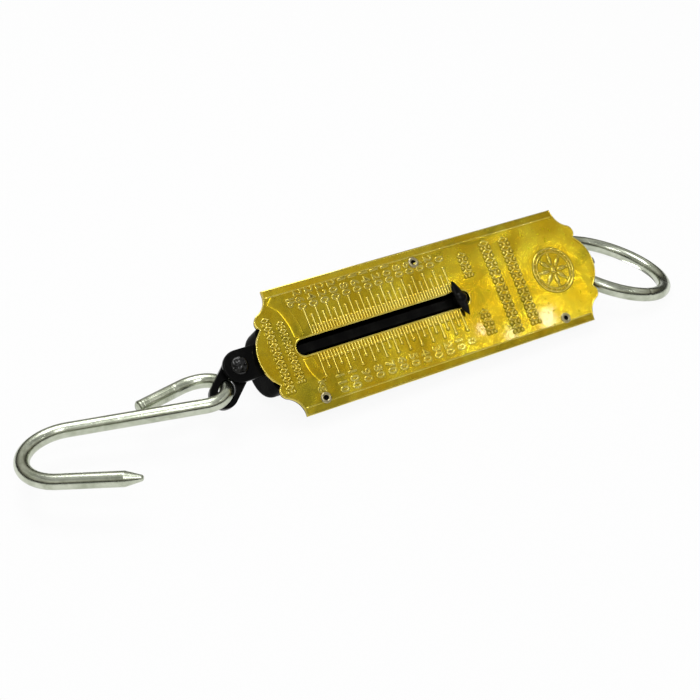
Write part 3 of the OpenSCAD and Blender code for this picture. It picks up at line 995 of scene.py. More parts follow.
@dataclass
class FaceRelief:
    """Everything that is stamped in the brass face."""

    maker: Maker
    zero_z: float = 10.7
    inner: float = 4.6
    stroke_w: float = 1.0
    stroke_grow: float = 0.8
    stroke_h: float = 0.5
    bead_r: float = 0.78
    figure_h: float = 4.1
    unit_share: float = 0.95
    font_digit: float = 0.69
    font_gap: float = 1.12
    font_bold: float = 0.005
    font_body: float = 0.03
    font_bevel: float = 0.04
    figure_rise: float = 0.95
    rim_w: float = 0.9
    rim_h: float = 0.45
    rim_overlap: float = 0.1
    rim_steps: int = 25
    slot_half: float = 3.85
    slot_low: float = -74.5
    slot_top: float = 18.5
    crease_x: float = 26.3
    crease_end: float = 81.0
    crease_size: Spot = (0.7, 0.3)
    crease_steps: int = 80
    swell_size: Spot = (5.4, 0.22)
    swell_steps: int = 60
    swell_passes: int = 12
    plate_half: Spot = (30.0, 80.8)
    margin: float = 3.7
    margin_drop: float = 0.6
    apex: float = 12.6
    notch: Spot = (13.2, 6.9)
    lobe_r: float = 4.0
    outline_steps: tuple[int, int, int] = (20, 14, 24)
    lobe_x: float = 16.2
    cove_r: float = 9.7
    lip_w: float = 0.75
    lip_h: float = 0.32
    ornament_rise: float = 1.15
    ornament_grow: float = 1.8
    medallion_z: float = 69.0
    medallion_h: float = 0.45
    medallion_steps: int = 96

    def build(self) -> None:
        """Builds and dresses all the relief."""
        strokes, border, rosette = MarkPattern(), OrnamentPattern(), RosettePattern()
        for layer in LAYERS:
            for side in SIDES:
                self.strokes(strokes, side, layer)
                self.figures(side, layer)
            self.borders(border, layer)
            self.medallion(rosette, layer)
        self.rim()
        self.lip()
        self.creases()
        self.swell()

    def stamp(self, name: str, parts: Sequence[bpy.types.Object], layer: StampLayer) -> None:
        """Joins the parts of one piece of a layer and dresses it."""
        piece = self.maker.join(f"{name}{layer.suffix}", parts)
        self.maker.dress(piece, layer.finish, "case")

    def strokes(self, pattern: MarkPattern, side: ScaleSide, layer: StampLayer) -> None:
        """Sets the long, middle and short strokes of one side.

        Args:
            pattern: The stroke tree.
            side: The side.
            layer: The layer of the relief.
        """
        rows = (
            (side.last + 1, 0.0, side.pitch, side.reach[0]),
            (side.last, side.pitch / 2, side.pitch, side.reach[1]),
            (2 * side.last, side.pitch / 4, side.pitch / 2, side.reach[2]),
        )
        parts = [
            pattern.run(
                self.maker,
                "strokes",
                layer.finish,
                Count=count,
                Start=self.maker.face.at(side.side * self.inner, 0, self.zero_z - drop),
                Pitch=pitch * MM,
                Reach=side.side * (reach - self.inner) * MM,
                Width=(self.stroke_w + self.stroke_grow * layer.grow) * MM,
                Height=self.stroke_h * layer.rise * MM,
                Bead=(self.bead_r + layer.grow) * MM,
            )
            for count, drop, pitch, reach in rows
        ]
        self.stamp(f"{side.unit}_strokes", parts, layer)

    def word(self, text: str, height: float, centre: Spot, layer: StampLayer) -> bpy.types.Object:
        """Makes one figure or unit as stamped relief.

        Args:
            text: The figure or unit.
            height: The height of a figure.
            centre: Its middle, as (x, z).
            layer: The layer of the relief.

        Returns:
            The relief's object.
        """
        curve = bpy.data.curves.new(f"figure_{text}", "FONT")
        curve.body = text
        curve.align_x = "CENTER"
        curve.resolution_u = 3
        curve.space_character = self.font_gap
        curve.offset = self.font_bold + layer.grow / height * self.font_digit
        curve.extrude = self.font_body * layer.rise
        curve.bevel_depth = self.font_bevel * layer.rise
        curve.bevel_resolution = 2
        holder = new_object(f"figure_{text}", curve)
        graph = bpy.context.evaluated_depsgraph_get()
        data = bpy.data.meshes.new_from_object(holder.evaluated_get(graph), depsgraph=graph)
        bpy.data.objects.remove(holder)
        across = [vertex.co.x for vertex in data.vertices]
        shift_x = (min(across) + max(across)) / 2
        scale = height / self.font_digit * MM
        middle = self.maker.face.at(centre[0], 0, centre[1])
        for vertex in data.vertices:
            x, z, out = vertex.co
            place = (x - shift_x, -out * self.figure_rise, z - self.font_digit / 2)
            vertex.co = middle + Vector(place) * scale
        data.update()
        return new_object(f"figure_{text}", data)

    def figures(self, side: ScaleSide, layer: StampLayer) -> None:
        """Sets the figures and the unit of one side in one layer."""
        words = []
        for step in range(side.figures_to + 1):
            spot = (side.figures_x, self.zero_z - step * side.pitch)
            words.append((str(step * side.per_major), self.figure_h, spot))
        words.append((side.unit, self.figure_h * self.unit_share, side.unit_spot))
        self.stamp(f"{side.unit}_figures", [self.word(*word, layer) for word in words], layer)

    def rim(self) -> None:
        """Raises the rim round the slot, in brass painted brighter as a highlight."""
        half = self.slot_half + self.rim_w / 2 - self.rim_overlap
        low, top = self.slot_low + self.slot_half, self.slot_top - self.slot_half
        turns = np.linspace(0, math.pi, self.rim_steps)
        line = np.concatenate([arc((0, top), half, turns), arc((0, low), half, turns + math.pi)])
        piece = self.maker.ridge("slot_rim", line, self.rim_w, self.rim_h, closed=True)
        self.maker.dress(piece, PAINTED_HIGHLIGHT_RELIEF, "case")

    def creases(self) -> None:
        """Draws the creases inside the margins, in brass painted brighter as a highlight."""
        parts = []
        for x in (-self.crease_x, self.crease_x):
            run = np.linspace(-self.crease_end, self.crease_end, self.crease_steps)
            line = np.stack([np.full(len(run), x), run], 1)
            parts.append(self.maker.ridge("crease", line, *self.crease_size))
        self.stamp("face_creases", parts, LAYERS[0])

    def swell(self) -> None:
        """Raises the shallow swell on both sides of the slot's lower end."""
        marks = np.array(SWELL_MARKS, float)
        steps = np.linspace(0, len(marks) - 1, self.swell_steps)
        z, x = (np.interp(steps, np.arange(len(marks)), marks[:, k]) for k in (0, 1))
        line = np.stack([-x, z], 1)
        for _ in range(self.swell_passes):
            line[1:-1] = (line[:-2] + line[1:-1] * 2 + line[2:]) / 4
        outside = np.abs(line[:, 0]) > self.slot_half + self.rim_w
        parts = [
            self.maker.ridge("swell", line[outside & (line[:, 0] * side > 0)], *self.swell_size)
            for side in (-1, 1)
        ]
        self.maker.dress(self.maker.join("face_swell", parts), BRASS, "case")

    def outline(self) -> np.ndarray:
        """Returns the plate's outline, just inside its edge, as a loop of (x, z) points."""
        half, tall = self.plate_half
        inset = self.lip_w / 2
        sag = self.apex - self.notch[1]
        arc_r = (self.notch[0] ** 2 + sag * sag) / (2 * sag)
        lobe_rise = math.sqrt(self.lobe_r**2 - (self.lobe_x - self.notch[0]) ** 2)
        corner = np.array([half, tall])
        lobe = np.array([self.lobe_x, tall + self.notch[1] - lobe_rise])
        notch = np.array([self.notch[0], tall + self.notch[1]])
        middle = np.array([0.0, tall + self.apex - arc_r])
        span = np.linalg.norm(lobe - corner)
        reach, other = self.cove_r, self.cove_r + self.lobe_r
        along = (span**2 + reach**2 - other**2) / (2 * span)
        away = math.sqrt(reach**2 - along**2)
        ahead = (lobe - corner) / span
        cove = corner + along * ahead + away * np.array([ahead[1], -ahead[0]])
        touch = lobe + self.lobe_r * (cove - lobe) / np.linalg.norm(cove - lobe)

        def angle(centre: np.ndarray, spot: np.ndarray) -> float:
            """Returns the angle at which a spot lies from a centre."""
            return math.atan2(spot[1] - centre[1], spot[0] - centre[0])

        start, end = angle(cove, corner), angle(cove, touch)
        if end >= start:
            end -= FULL_TURN
        pieces = (
            (cove, self.cove_r + inset, start, end),
            (lobe, self.lobe_r - inset, angle(lobe, touch), angle(lobe, notch)),
            (middle, arc_r - inset, angle(middle, notch), math.pi / 2),
        )
        arcs = [
            arc(centre, radius, np.linspace(first, last, count))
            for (centre, radius, first, last), count in zip(pieces, self.outline_steps)
        ]
        quarter = np.concatenate(arcs)
        quarter[:, 0] = np.minimum(quarter[:, 0], half - inset)
        left = quarter[::-1] * (-1, 1)
        upper = np.concatenate([quarter, left[1:]])
        return np.concatenate([upper, -upper])

    def lip(self) -> None:
        """Rolls the lip along the plate's whole edge, in brass painted brighter as a highlight."""
        half = self.plate_half[0]
        fold = half - self.margin
        piece = self.maker.ridge("edge_lip", self.outline(), self.lip_w, self.lip_h, closed=True)
        for vertex in piece.data.vertices:
            side = abs(vertex.co.x - self.maker.face.origin.x) / MM - fold
            if side > 0:
                vertex.co.y += self.margin_drop * side / (half - fold) * MM
        self.maker.dress(piece, PAINTED_HIGHLIGHT_RELIEF, "case")

    def borders(self, pattern: OrnamentPattern, layer: StampLayer) -> None:
        """Fills the stamped fields with plain bead borders in one layer."""
        parts = [
            pattern.run(
                self.maker,
                "bead_border",
                layer.finish,
                Count=border.count,
                Start=self.maker.face.at(border.x, 0, border.z),
                Step=Vector((border.step * MM, 0, 0)),
                Tall=border.tall * MM,
                Bar=(border.bar + self.ornament_grow * layer.grow) * MM,
                Rise=self.ornament_rise * layer.rise,
            )
            for border in BORDERS
        ]
        self.stamp("bead_borders", parts, layer)

    def medallion(self, pattern: RosettePattern, layer: StampLayer) -> None:
        """Sets a plain rosette in the round field near the ring, in one layer."""
        turns = np.linspace(0, FULL_TURN, self.medallion_steps + 1)[:-1]
        parts = []
        for radius, width in MEDALLION_RINGS:
            line = arc((0, self.medallion_z), radius, turns)
            wide, high = width + 2 * layer.grow, self.medallion_h * layer.rise
            parts.append(self.maker.ridge("medallion_ring", line, wide, high, closed=True))
        for count, radius, (wide, high, deep) in MEDALLION_PETALS:
            size = Vector((wide + layer.grow, high * layer.rise, deep + layer.grow))
            parts.append(
                pattern.run(
                    self.maker,
                    "rosette",
                    layer.finish,
                    Count=count,
                    Centre=self.maker.face.at(0, 0, self.medallion_z),
                    Radius=radius * MM,
                    Shape=size * MM,
                )
            )
        self.stamp("medallion", parts, layer)


@dataclass
class PlateRivets:
    """The three tubular rivets that hold the plate, with their dark bores."""

    maker: Maker
    spots: tuple[Spot, ...] = ((24.6, -69.5), (24.6, 64.9), (-23.3, -3.0))
    head_r: float = 2.7
    tube_r: float = 1.7
    bore_r: float = 1.1
    head_h: float = 0.7
    back: float = 2.4
    waist: float = 0.02
    turn: float = 1.1
    roll_steps: int = 13
    tube_sides: int = 40
    well_gap: float = 0.06
    well_floor: float = -1.6
    well_bottom: float = -0.8
    well_wall: tuple[Spot, ...] = ((0.0, 0.3), (0.12, 0.2), (0.35, -0.5))
    well_sides: int = 32

    def build(self) -> None:
        """Turns one rivet and one bore and sets each three times."""
        rolled = (self.head_r - self.bore_r) / 2
        middle = (self.head_r + self.bore_r) / 2
        turns = np.linspace(0, math.pi, self.roll_steps)
        tube = [(middle + rolled * math.cos(t), self.head_h * math.sin(t)) for t in turns]
        tube.append((self.bore_r, -self.back / 2))
        tube += [
            (middle - rolled * math.cos(t), -self.back - self.head_h * math.sin(t)) for t in turns
        ]
        tube += [(self.tube_r, -self.back + self.waist), (self.tube_r, -self.waist)]
        bore = self.bore_r + self.well_gap
        well = [(0.0, self.well_floor), (bore, self.well_floor)]
        well += [(bore - inset, height) for inset, height in self.well_wall]
        well.append((0.0, self.well_bottom))
        nodes = ("plate_rivet_1", "plate_rivet_2", "plate_rivet_3")
        pattern = RivetPattern()
        places = dict(zip(pattern.spots, (self.maker.face.at(x, 0, z) for x, z in self.spots)))
        for name, profile, sides, closed, finish, stands_for in (
            ("plate_rivets", tube, self.tube_sides, True, RIVET, nodes),
            ("rivet_wells", well, self.well_sides, False, ENAMEL, ()),
        ):
            model = self.maker.lathe("model", profile, (0, 0, 0), (0, -1, 0), sides, closed)
            model.data.transform(Matrix.Translation(-self.maker.face.origin))
            piece = pattern.run(self.maker, name, finish, Rivet=model, Turn=self.turn, **places)
            bpy.data.objects.remove(model)
            self.maker.dress(piece, finish, "case", stands_for)


@dataclass
class DrawBar:
    """The flat bar behind the slot, with its ear at the hook's end."""

    maker: Maker
    half: float = 2.5
    front: float = 3.0
    thick: float = 3.0
    edge: tuple[float, int] = (0.75, 4)
    ear_top: float = -90.3
    ear_centre: Spot = (-1.2, -101.2)
    ear_r: float = 7.5
    tab_z: float = 16.0
    tab_half: float = 6.0
    tab_back: float = 22.5
    tab_edge: tuple[float, int] = (0.4, 2)
    ear_steps: int = 41

    def build(self) -> None:
        """Cuts the bar and its ear, bends the tab back and rounds the edges."""
        cx = self.ear_centre[0]
        low, top, wide = self.tab_z, self.tab_z + self.thick, self.tab_half
        outline = [(-self.half, top), (self.half, top), (self.half, self.ear_top)]
        outline.append((cx + self.ear_r, self.ear_top))
        turns = np.linspace(0, -math.pi, self.ear_steps)
        outline += [tuple(spot) for spot in arc(self.ear_centre, self.ear_r, turns)]
        outline += [(cx - self.ear_r, self.ear_top), (-self.half, self.ear_top)]
        bar = self.maker.slab("bar", outline, self.front, self.front + self.thick)
        corners = [(-wide, low), (wide, low), (wide, top), (-wide, top)]
        tab = self.maker.slab("tab", corners, self.front, self.tab_back)
        parts = [
            self.maker.round_edges(bar, *self.edge),
            self.maker.round_edges(tab, *self.tab_edge),
        ]
        self.maker.dress(self.maker.join("draw_bar_skin", parts), ENAMEL, "draw_bar", ("draw_bar",))


@dataclass
class Pointer:
    """The double-ended pointer: a thin leaf with a crowned front, on its stud."""

    maker: Maker
    zero_z: float = 12.5
    half_len: float = 9.0
    half_w: float = 2.6
    back: float = -2.0
    thick: float = 1.0
    crown: float = 0.35
    skew: float = -7.8
    taper: float = 2.1
    fullness: Spot = (0.72, 0.95)
    least_w: float = 0.02
    rolled: float = 0.45
    across: int = 12
    along: int = 48

    def build(self) -> None:
        """Builds the leaf as a crowned grid with a rolled edge."""
        across, along = self.across, self.along
        tilt = math.radians(self.skew)
        rows, faces = [], []
        for at_back in (False, True):
            for i in range(along + 1):
                s = -1 + 2 * i / along
                power = self.fullness[0] if s < 0 else self.fullness[1]
                width = self.half_w * max(self.least_w, 1 - abs(s) ** self.taper) ** power
                for k in range(across + 1):
                    t = -1 + 2 * k / across
                    x, z = s * self.half_len, t * width
                    crown = self.crown * (1 - t * t) * (1 - s * s)
                    rolled = self.thick * (1 - self.rolled * t**4)
                    y = self.back if at_back else self.back - rolled + self.crown - crown
                    right = x * math.cos(tilt) + z * math.sin(tilt)
                    rows.append((right, y, self.zero_z - x * math.sin(tilt) + z * math.cos(tilt)))
        size = across + 1
        top = (along + 1) * size
        for i in range(along):
            for k in range(across):
                a = i * size + k
                faces.append([a, a + 1, a + size + 1, a + size])
                faces.append([top + a, top + a + size, top + a + size + 1, top + a + 1])
        edge = list(range(across)) + [i * size + across for i in range(along)]
        edge += [along * size + k for k in range(across, 0, -1)]
        edge += [i * size for i in range(along, 0, -1)]
        for first, second in zip(edge, edge[1:] + edge[:1]):
            faces.append([first, top + first, top + second, second])
        piece = self.maker.mesh("pointer_leaf", rows, faces)
        self.maker.dress(piece, ENAMEL, "draw_bar", ("pointer",))


@dataclass
class HookRivet:
    """The rivet through the ear, with its pebbled head."""

    maker: Maker
    centre: Spot = (-1.2, -101.2)
    head_r: float = 4.2
    head_h: float = 1.8
    shank_r: float = 3.0
    seat: float = 3.0
    tail_y: float = 9.7
    tail_h: float = 1.2
    tail_r: float = 4.0
    tail_edge: float = 0.6
    dome: float = 0.8
    dome_steps: int = 30
    sides: int = 72
    pebbles: int = 60
    pebble_size: Spot = (0.45, 0.85)
    pebble_lift: float = 0.34
    head_from: float = -0.25
    seed: int = 11

    def build(self) -> None:
        """Builds the head as a pebbled dome, with the shank and the peened end behind it."""
        drop, end = self.tail_y - self.seat, self.tail_y - self.seat + self.tail_h
        profile = [
            (self.head_r * math.sin(a), self.head_h * math.cos(a) ** self.dome)
            for a in np.linspace(0, math.pi / 2, self.dome_steps)[:-1]
        ]
        profile += [(self.head_r, 0.0), (self.shank_r, 0.0), (self.shank_r, -drop)]
        profile += [(self.tail_r, -drop), (self.tail_r, -drop - self.tail_h / 2)]
        profile += [(self.tail_r - self.tail_edge, -end), (0.0, -end)]
        foot = (self.centre[0], self.seat, self.centre[1])
        piece = self.maker.lathe("hook_rivet_skin", profile, foot, (0, -1, 0), self.sides)
        middle = self.maker.face.at(*foot)
        seeded = np.random.default_rng(self.seed)
        spots = seeded.uniform(-1, 1, (self.pebbles, 2)) * self.head_r
        sizes = seeded.uniform(*self.pebble_size, self.pebbles)
        lifts = seeded.uniform(-self.pebble_lift, self.pebble_lift, self.pebbles)
        for vertex in piece.data.vertices:
            place = (vertex.co - middle) / MM
            if place.y <= self.head_from:
                near = np.exp(-(((spots - (place.x, place.z)) ** 2).sum(1)) / sizes**2)
                vertex.co.y -= float((near * lifts).sum()) * MM
        piece.data.update()
        self.maker.dress(piece, HEAD_ENAMEL, "draw_bar", ("hook_rivet",))


@dataclass
class SwivelLink:
    """The forged link: a tongue with an eye for the hook, soft at every edge as a forging is."""

    maker: Maker
    weld: float = 0.001
    grain: float = 0.24
    soften: float = 0.5
    softness: int = 7

    def build(self, node: bpy.types.Object) -> None:
        """Melts a copy of the CAD link into one skin and softens its edges.

        Args:
            node: The CAD link.
        """
        data = node.data.copy()
        shape = bmesh.new()
        shape.from_mesh(data)
        bmesh.ops.remove_doubles(shape, verts=shape.verts, dist=self.weld * MM)
        shape.to_mesh(data)
        shape.free()
        piece = new_object("swivel_link_skin", data)
        melt = piece.modifiers.new("melt", "REMESH")
        melt.mode = "VOXEL"
        melt.voxel_size = self.grain * MM
        soft = piece.modifiers.new("soft", "SMOOTH")
        soft.factor = self.soften
        soft.iterations = self.softness
        piece = self.maker.freeze(piece)
        piece.data.polygons.foreach_set("use_smooth", [True] * len(piece.data.polygons))
        self.maker.dress(piece, ENAMEL, "link", ("swivel_link",))


@dataclass
class Hook:
    """The wire hook: closed eye with a gripped tail, long shank, wide bend and blunt point."""

    maker: Maker
    wire_r: float = 3.3
    eye_r: float = 10.6
    shank: float = 58.7
    bend_r: float = 18.6
    sweep: float = 167.0
    arm: float = 34.6
    point: float = 7.6
    point_r: float = 1.1
    tail_r: float = 17.4
    tail_angle: float = 31.0
    tail_len: float = 22.7
    teeth_from: float = 1.2
    teeth_to: float = 19.5
    teeth_pitch: float = 1.05
    teeth_side: float = -144.5
    teeth_depth: float = 0.5
    teeth_fade: Spot = (2.0, 3.0)
    teeth_facing: Spot = (0.05, 0.6)
    teeth_power: Spot = (0.8, 1.2)
    end_len: float = 1.0
    end_rough: float = 0.10
    end_round: float = 0.75
    tip_from: float = 0.9
    tip_power: float = 2.2
    tip_least: float = 0.05
    top: Point = (6.4136, 7.53, -109.0694)
    lean: Point = (2.0, 17.8, -47.7)
    sides: int = 56
    fine_to: float = 26.0
    fine_step: float = 0.16
    plain_step: float = 0.7
    bend_step: float = 0.5
    before_taper: Spot = (0.5, 0.4)
    point_steps: int = 36
    tail_samples: tuple[float, int] = (0.99, 60)
    shank_samples: tuple[float, int] = (0.995, 100)
    arm_samples: tuple[float, int] = (1.0, 90)
    ragged_over: int = 5
    seed: int = 5

    def turn(self) -> np.ndarray:
        """Returns the matrix that turns the hook's own plane into the face's frame."""
        turned = Matrix.Identity(3)
        for lean, axis in zip(self.lean, "XYZ"):
            turned = Matrix.Rotation(math.radians(lean), 3, axis) @ turned
        return np.array(turned)

    def line(self) -> tuple[np.ndarray, np.ndarray]:
        """Returns the wire's middle line from tail to point, and the distance along it."""

        def bend(cx: float, cz: float, radius: float, start: float, end: float) -> np.ndarray:
            """Returns a bend between two angles in degrees, without its last point."""
            count = max(4, int(abs(math.radians(end - start)) * radius / self.bend_step))
            angles = start + (end - start) * np.arange(count) / count
            return arc((cx, cz), radius, np.radians(angles))

        def straight(start: Spot, end: Spot, share: float, count: int) -> np.ndarray:
            """Returns so many points over a share of the way from one spot to another."""
            shares = np.linspace(0, share, count)
            return np.array(start) + (np.array(end) - np.array(start)) * shares[:, None]

        tail_a, last = math.radians(self.tail_angle), math.radians(180 + self.sweep)
        tail_cx = -2 * self.eye_r + self.tail_r
        knee = (tail_cx - self.tail_r * math.cos(tail_a), -self.tail_r * math.sin(tail_a))
        end = (
            knee[0] + self.tail_len * math.sin(tail_a),
            knee[1] - self.tail_len * math.cos(tail_a),
        )
        foot = self.bend_r * (1 + math.cos(last)), -self.shank + self.bend_r * math.sin(last)
        tip = (foot[0] - self.arm * math.sin(last), foot[1] + self.arm * math.cos(last))
        rough = np.concatenate(
            [
                straight(end, knee, *self.tail_samples),
                bend(tail_cx, 0, self.tail_r, 180 + self.tail_angle, 180),
                bend(-self.eye_r, 0, self.eye_r, 180, 0),
                straight((0, 0), (0, -self.shank), *self.shank_samples),
                bend(self.bend_r, -self.shank, self.bend_r, 180, 180 + self.sweep),
                straight(foot, tip, *self.arm_samples),
            ]
        )
        steps = np.linalg.norm(np.diff(rough, axis=0), axis=1)
        gone = np.concatenate([[0], np.cumsum(steps)])
        taper = gone[-1] - self.point
        measure = np.concatenate(
            [
                np.arange(0, self.fine_to, self.fine_step),
                np.arange(self.fine_to, taper - self.before_taper[0], self.plain_step),
                np.linspace(taper - self.before_taper[1], gone[-1], self.point_steps),
            ]
        )
        return np.stack([np.interp(measure, gone, rough[:, k]) for k in (0, 1)], 1), measure

    def build(self) -> None:
        """Sweeps the wire and shapes its gripped tail and its point."""
        line, measure = self.line()
        turn = self.turn()
        local = np.stack([line[:, 0] + self.eye_r, np.zeros(len(line)), line[:, 1] - self.eye_r], 1)
        path = local @ turn.T + np.array(self.top)
        shaky = np.random.default_rng(self.seed).normal(0, 1, (self.sides,))
        window = np.ones(self.ragged_over) / self.ragged_over
        ragged = np.convolve(np.tile(shaky, 3), window, "same")[: self.sides]

        def radius(index: int, angles: np.ndarray) -> np.ndarray:
            """Gives the wire's radius round one ring."""
            here = measure[index]
            size = np.full(len(angles), self.wire_r)
            left = self.end_len - here
            if left > 0:
                size += self.end_rough * left * ragged - self.end_round * left**2
            if self.teeth_from < here < self.teeth_to:
                tooth = abs((here / self.teeth_pitch) % 1.0 - 0.5) * 2
                begin, end = self.teeth_fade
                fade = min(1, (here - self.teeth_from) / begin, (self.teeth_to - here) / end)
                least, span = self.teeth_facing
                facing = np.cos(angles - math.radians(self.teeth_side))
                facing = np.clip((facing - least) / span, 0, 1) ** self.teeth_power[1]
                size -= self.teeth_depth * fade * tooth ** self.teeth_power[0] * facing
            share = 1 - (measure[-1] - here) / self.point
            if share > 0:
                size = np.full(len(angles), self.wire_r + (self.point_r - self.wire_r) * share)
                tip = (share - self.tip_from) / (1 - self.tip_from)
                if tip > 0:
                    size *= max(self.tip_least, 1 - tip**self.tip_power) ** 0.5
            return size

        piece = self.maker.tube("wire_hook", path, turn[:, 1], radius, self.sides, measure)
        self.maker.dress(piece, ZINC, "hook", ("hook",))


@dataclass
class HangingRing:
    """The wire ring from which the scale hangs, with the faint butt of its weld."""

    maker: Maker
    hinge: Point = (0.0, 14.9, 88.5)
    roll: float = -42.3
    tilt: float = 15.8
    slip: float = -2.8
    radius: float = 30.5
    wire_r: float = 3.5
    seam: float = 0.12
    seam_w: float = 0.7
    rings: int = 256
    sides: int = 48

    def build(self) -> None:
        """Sweeps the wire round the ring."""
        roll, tilt = math.radians(self.roll), math.radians(self.tilt)
        side = np.array([math.cos(roll), math.sin(roll), 0.0])
        leaning = math.sin(tilt)
        up = np.array([-math.sin(roll) * leaning, math.cos(roll) * leaning, math.cos(tilt)])
        centre = np.array(self.hinge) + self.slip * side + self.radius * up
        turns = np.linspace(0, FULL_TURN, self.rings + 1)[:-1]
        round_it = np.cos(turns)[:, None] * side + np.sin(turns)[:, None] * up
        path = centre + self.radius * round_it

        def radius(index: int, angles: np.ndarray) -> np.ndarray:
            """Gives the wire's radius, with a slight seam where its ends meet."""
            gap = min(index, self.rings - index)
            dip = self.seam * math.exp(-((gap / self.seam_w) ** 2))
            return np.full(len(angles), self.wire_r - dip)

        flat, measure = np.cross(side, up), turns * self.radius
        piece = self.maker.tube("hanging_ring", path, flat, radius, self.sides, measure, True)
        self.maker.dress(piece, ZINC, "ring", ("ring",))


@dataclass
class RingEye:
    """The flat eye at the ring's end, with its collar and shank."""

    maker: Maker
    axis_y: float = 14.5
    case_top: float = 80.5
    rise: float = 10.5
    hole_r: float = 7.8
    rim: float = 3.5
    thick: float = 3.5
    soft: float = 0.9
    collar_r: float = 7.0
    collar_h: float = 1.5
    collar_edge: float = 0.5
    collar_round: tuple[float, int] = (0.15, 2)
    collar_sides: int = 56
    eye_sides: int = 72
    edge_steps: int = 6
    shank_r: float = 4.0
    shank_low: float = 64.3

    def build(self) -> None:
        """Builds the eye with rounded edges, the collar and the shank."""
        soft = self.soft
        outer, inner = self.hole_r + self.rim - soft, self.hole_r + soft
        half = self.thick / 2 - soft
        profile: list[Spot] = []
        for centre, first in (
            ((outer, half), 0),
            ((inner, half), 90),
            ((inner, -half), 180),
            ((outer, -half), 270),
        ):
            turns = np.radians(np.linspace(first, first + 90, self.edge_steps))
            profile += [tuple(spot) for spot in arc(centre, soft, turns)]
        middle = (0, self.axis_y, self.case_top + self.rise)
        eye = self.maker.lathe("ring_eye_skin", profile, middle, (1, 0, 0), self.eye_sides, True)
        top = self.case_top + self.collar_h
        steps = [(0, self.shank_low), (self.shank_r, self.shank_low)]
        steps += [(self.shank_r, self.case_top), (self.collar_r, self.case_top)]
        steps += [(self.collar_r, top - self.collar_edge), (self.collar_r - self.collar_edge, top)]
        steps.append((0, top))
        foot = (0, self.axis_y, 0)
        collar = self.maker.lathe("collar", steps, foot, (0, 0, 1), self.collar_sides)
        collar = self.maker.round_edges(collar, *self.collar_round)
        piece = self.maker.join("ring_eye_skin", [eye, collar])
        self.maker.dress(piece, ENAMEL, "case", ("ring_eye",))


@dataclass
class Spring:
    """The tension spring on the case's axis."""

    maker: Maker
    axis_y: float = 14.5
    mean_r: float = 10.75
    wire: float = 3.8
    pitch: float = 4.3

    def build(self) -> None:
        """Winds the spring in the space of its CAD node."""
        low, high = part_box("spring")
        length = (high.z - low.z) / MM - self.wire
        foot = self.maker.face.at(0, self.axis_y, 0)
        foot.z = low.z + self.wire / 2 * MM
        piece = SpringPattern().run(
            self.maker,
            "wound_spring",
            STEEL,
            Foot=foot,
            Turns=length / self.pitch,
            Radius=self.mean_r * MM,
            Length=length * MM,
            Wire=self.wire * MM,
        )
        self.maker.dress(piece, STEEL, "case", ("spring",))


class FramePaint:
    """The finishes of the CAD nodes that stay as they are."""

    plan: Mapping[str, Finish] = {
        "face_plate": BRASS,
        "rear_case": CASE_ENAMEL,
        "bar_guide": ENAMEL,
        "pointer_stud": ENAMEL,
        "pointer_collar": ENAMEL,
        "rivet_washer": ENAMEL,
        "spring_lower_plug": STEEL,
        "spring_upper_plug": STEEL,
        "plug_screw": STEEL,
        "lock_pin": STEEL,
    }

    def build(self, nodes: Mapping[str, bpy.types.Object]) -> None:
        """Puts each finish on its nodes.

        Args:
            nodes: The frame's CAD objects by name.
        """
        for name, finish in self.plan.items():
            item = nodes[name]
            if not item.material_slots:
                item.data.materials.append(finish.material())
            for holder in item.material_slots:
                holder.material = finish.material()
            LOG.info("%s keeps its shape and takes %s", name, finish.name)


@dataclass(frozen=True)
class Lamp:
    """A soft lamp: its place from the face in metres, its two widths and its power in watts."""

    name: str
    side: float
    away: float
    up: float
    size: Spot
    watts: float


LAMPS = (
    Lamp("overhead_softbox", -0.25, 0.35, 1.1, (0.7, 0.5), 5.0),
    Lamp("front_softbox", 0.17, -0.76, 1.04, (0.5, 0.4), 2.2),
    Lamp("plate_glint", 0.935, -0.17, 0.78, (0.03, 0.018), 0.11),
    Lamp("middle_glint", 0.882, -0.209, 0.78, (0.018, 0.011), 0.042),
    Lamp("slot_glint", 0.822, -0.213, 0.78, (0.014, 0.009), 0.024),
    Lamp("front_glint", -0.05, -0.60, 1.10, (0.06, 0.04), 0.45),
    Lamp("rear_softbox", -0.5, 0.2, -0.9, (0.3, 0.9), 9.0),
)
WALL_TONES = (
    (0.0, grey(0.015)),
    (0.074, (0.012, 0.012, 0.010)),
    (0.088, (0.12, 0.11, 0.085)),
    (0.108, (0.36, 0.345, 0.30)),
    (0.158, (0.58, 0.57, 0.53)),
    (0.249, (0.70, 0.70, 0.68)),
    (0.297, (0.52, 0.52, 0.51)),
    (0.354, grey(0.30)),
    (0.40, grey(0.34)),
    (0.455, grey(0.58)),
    (0.7, grey(0.60)),
    (1.0, grey(0.60)),
)
WALL_DAPPLE = ((0.38, grey(0.45)), (0.5, grey(0.85)), (0.64, grey(1.25)))


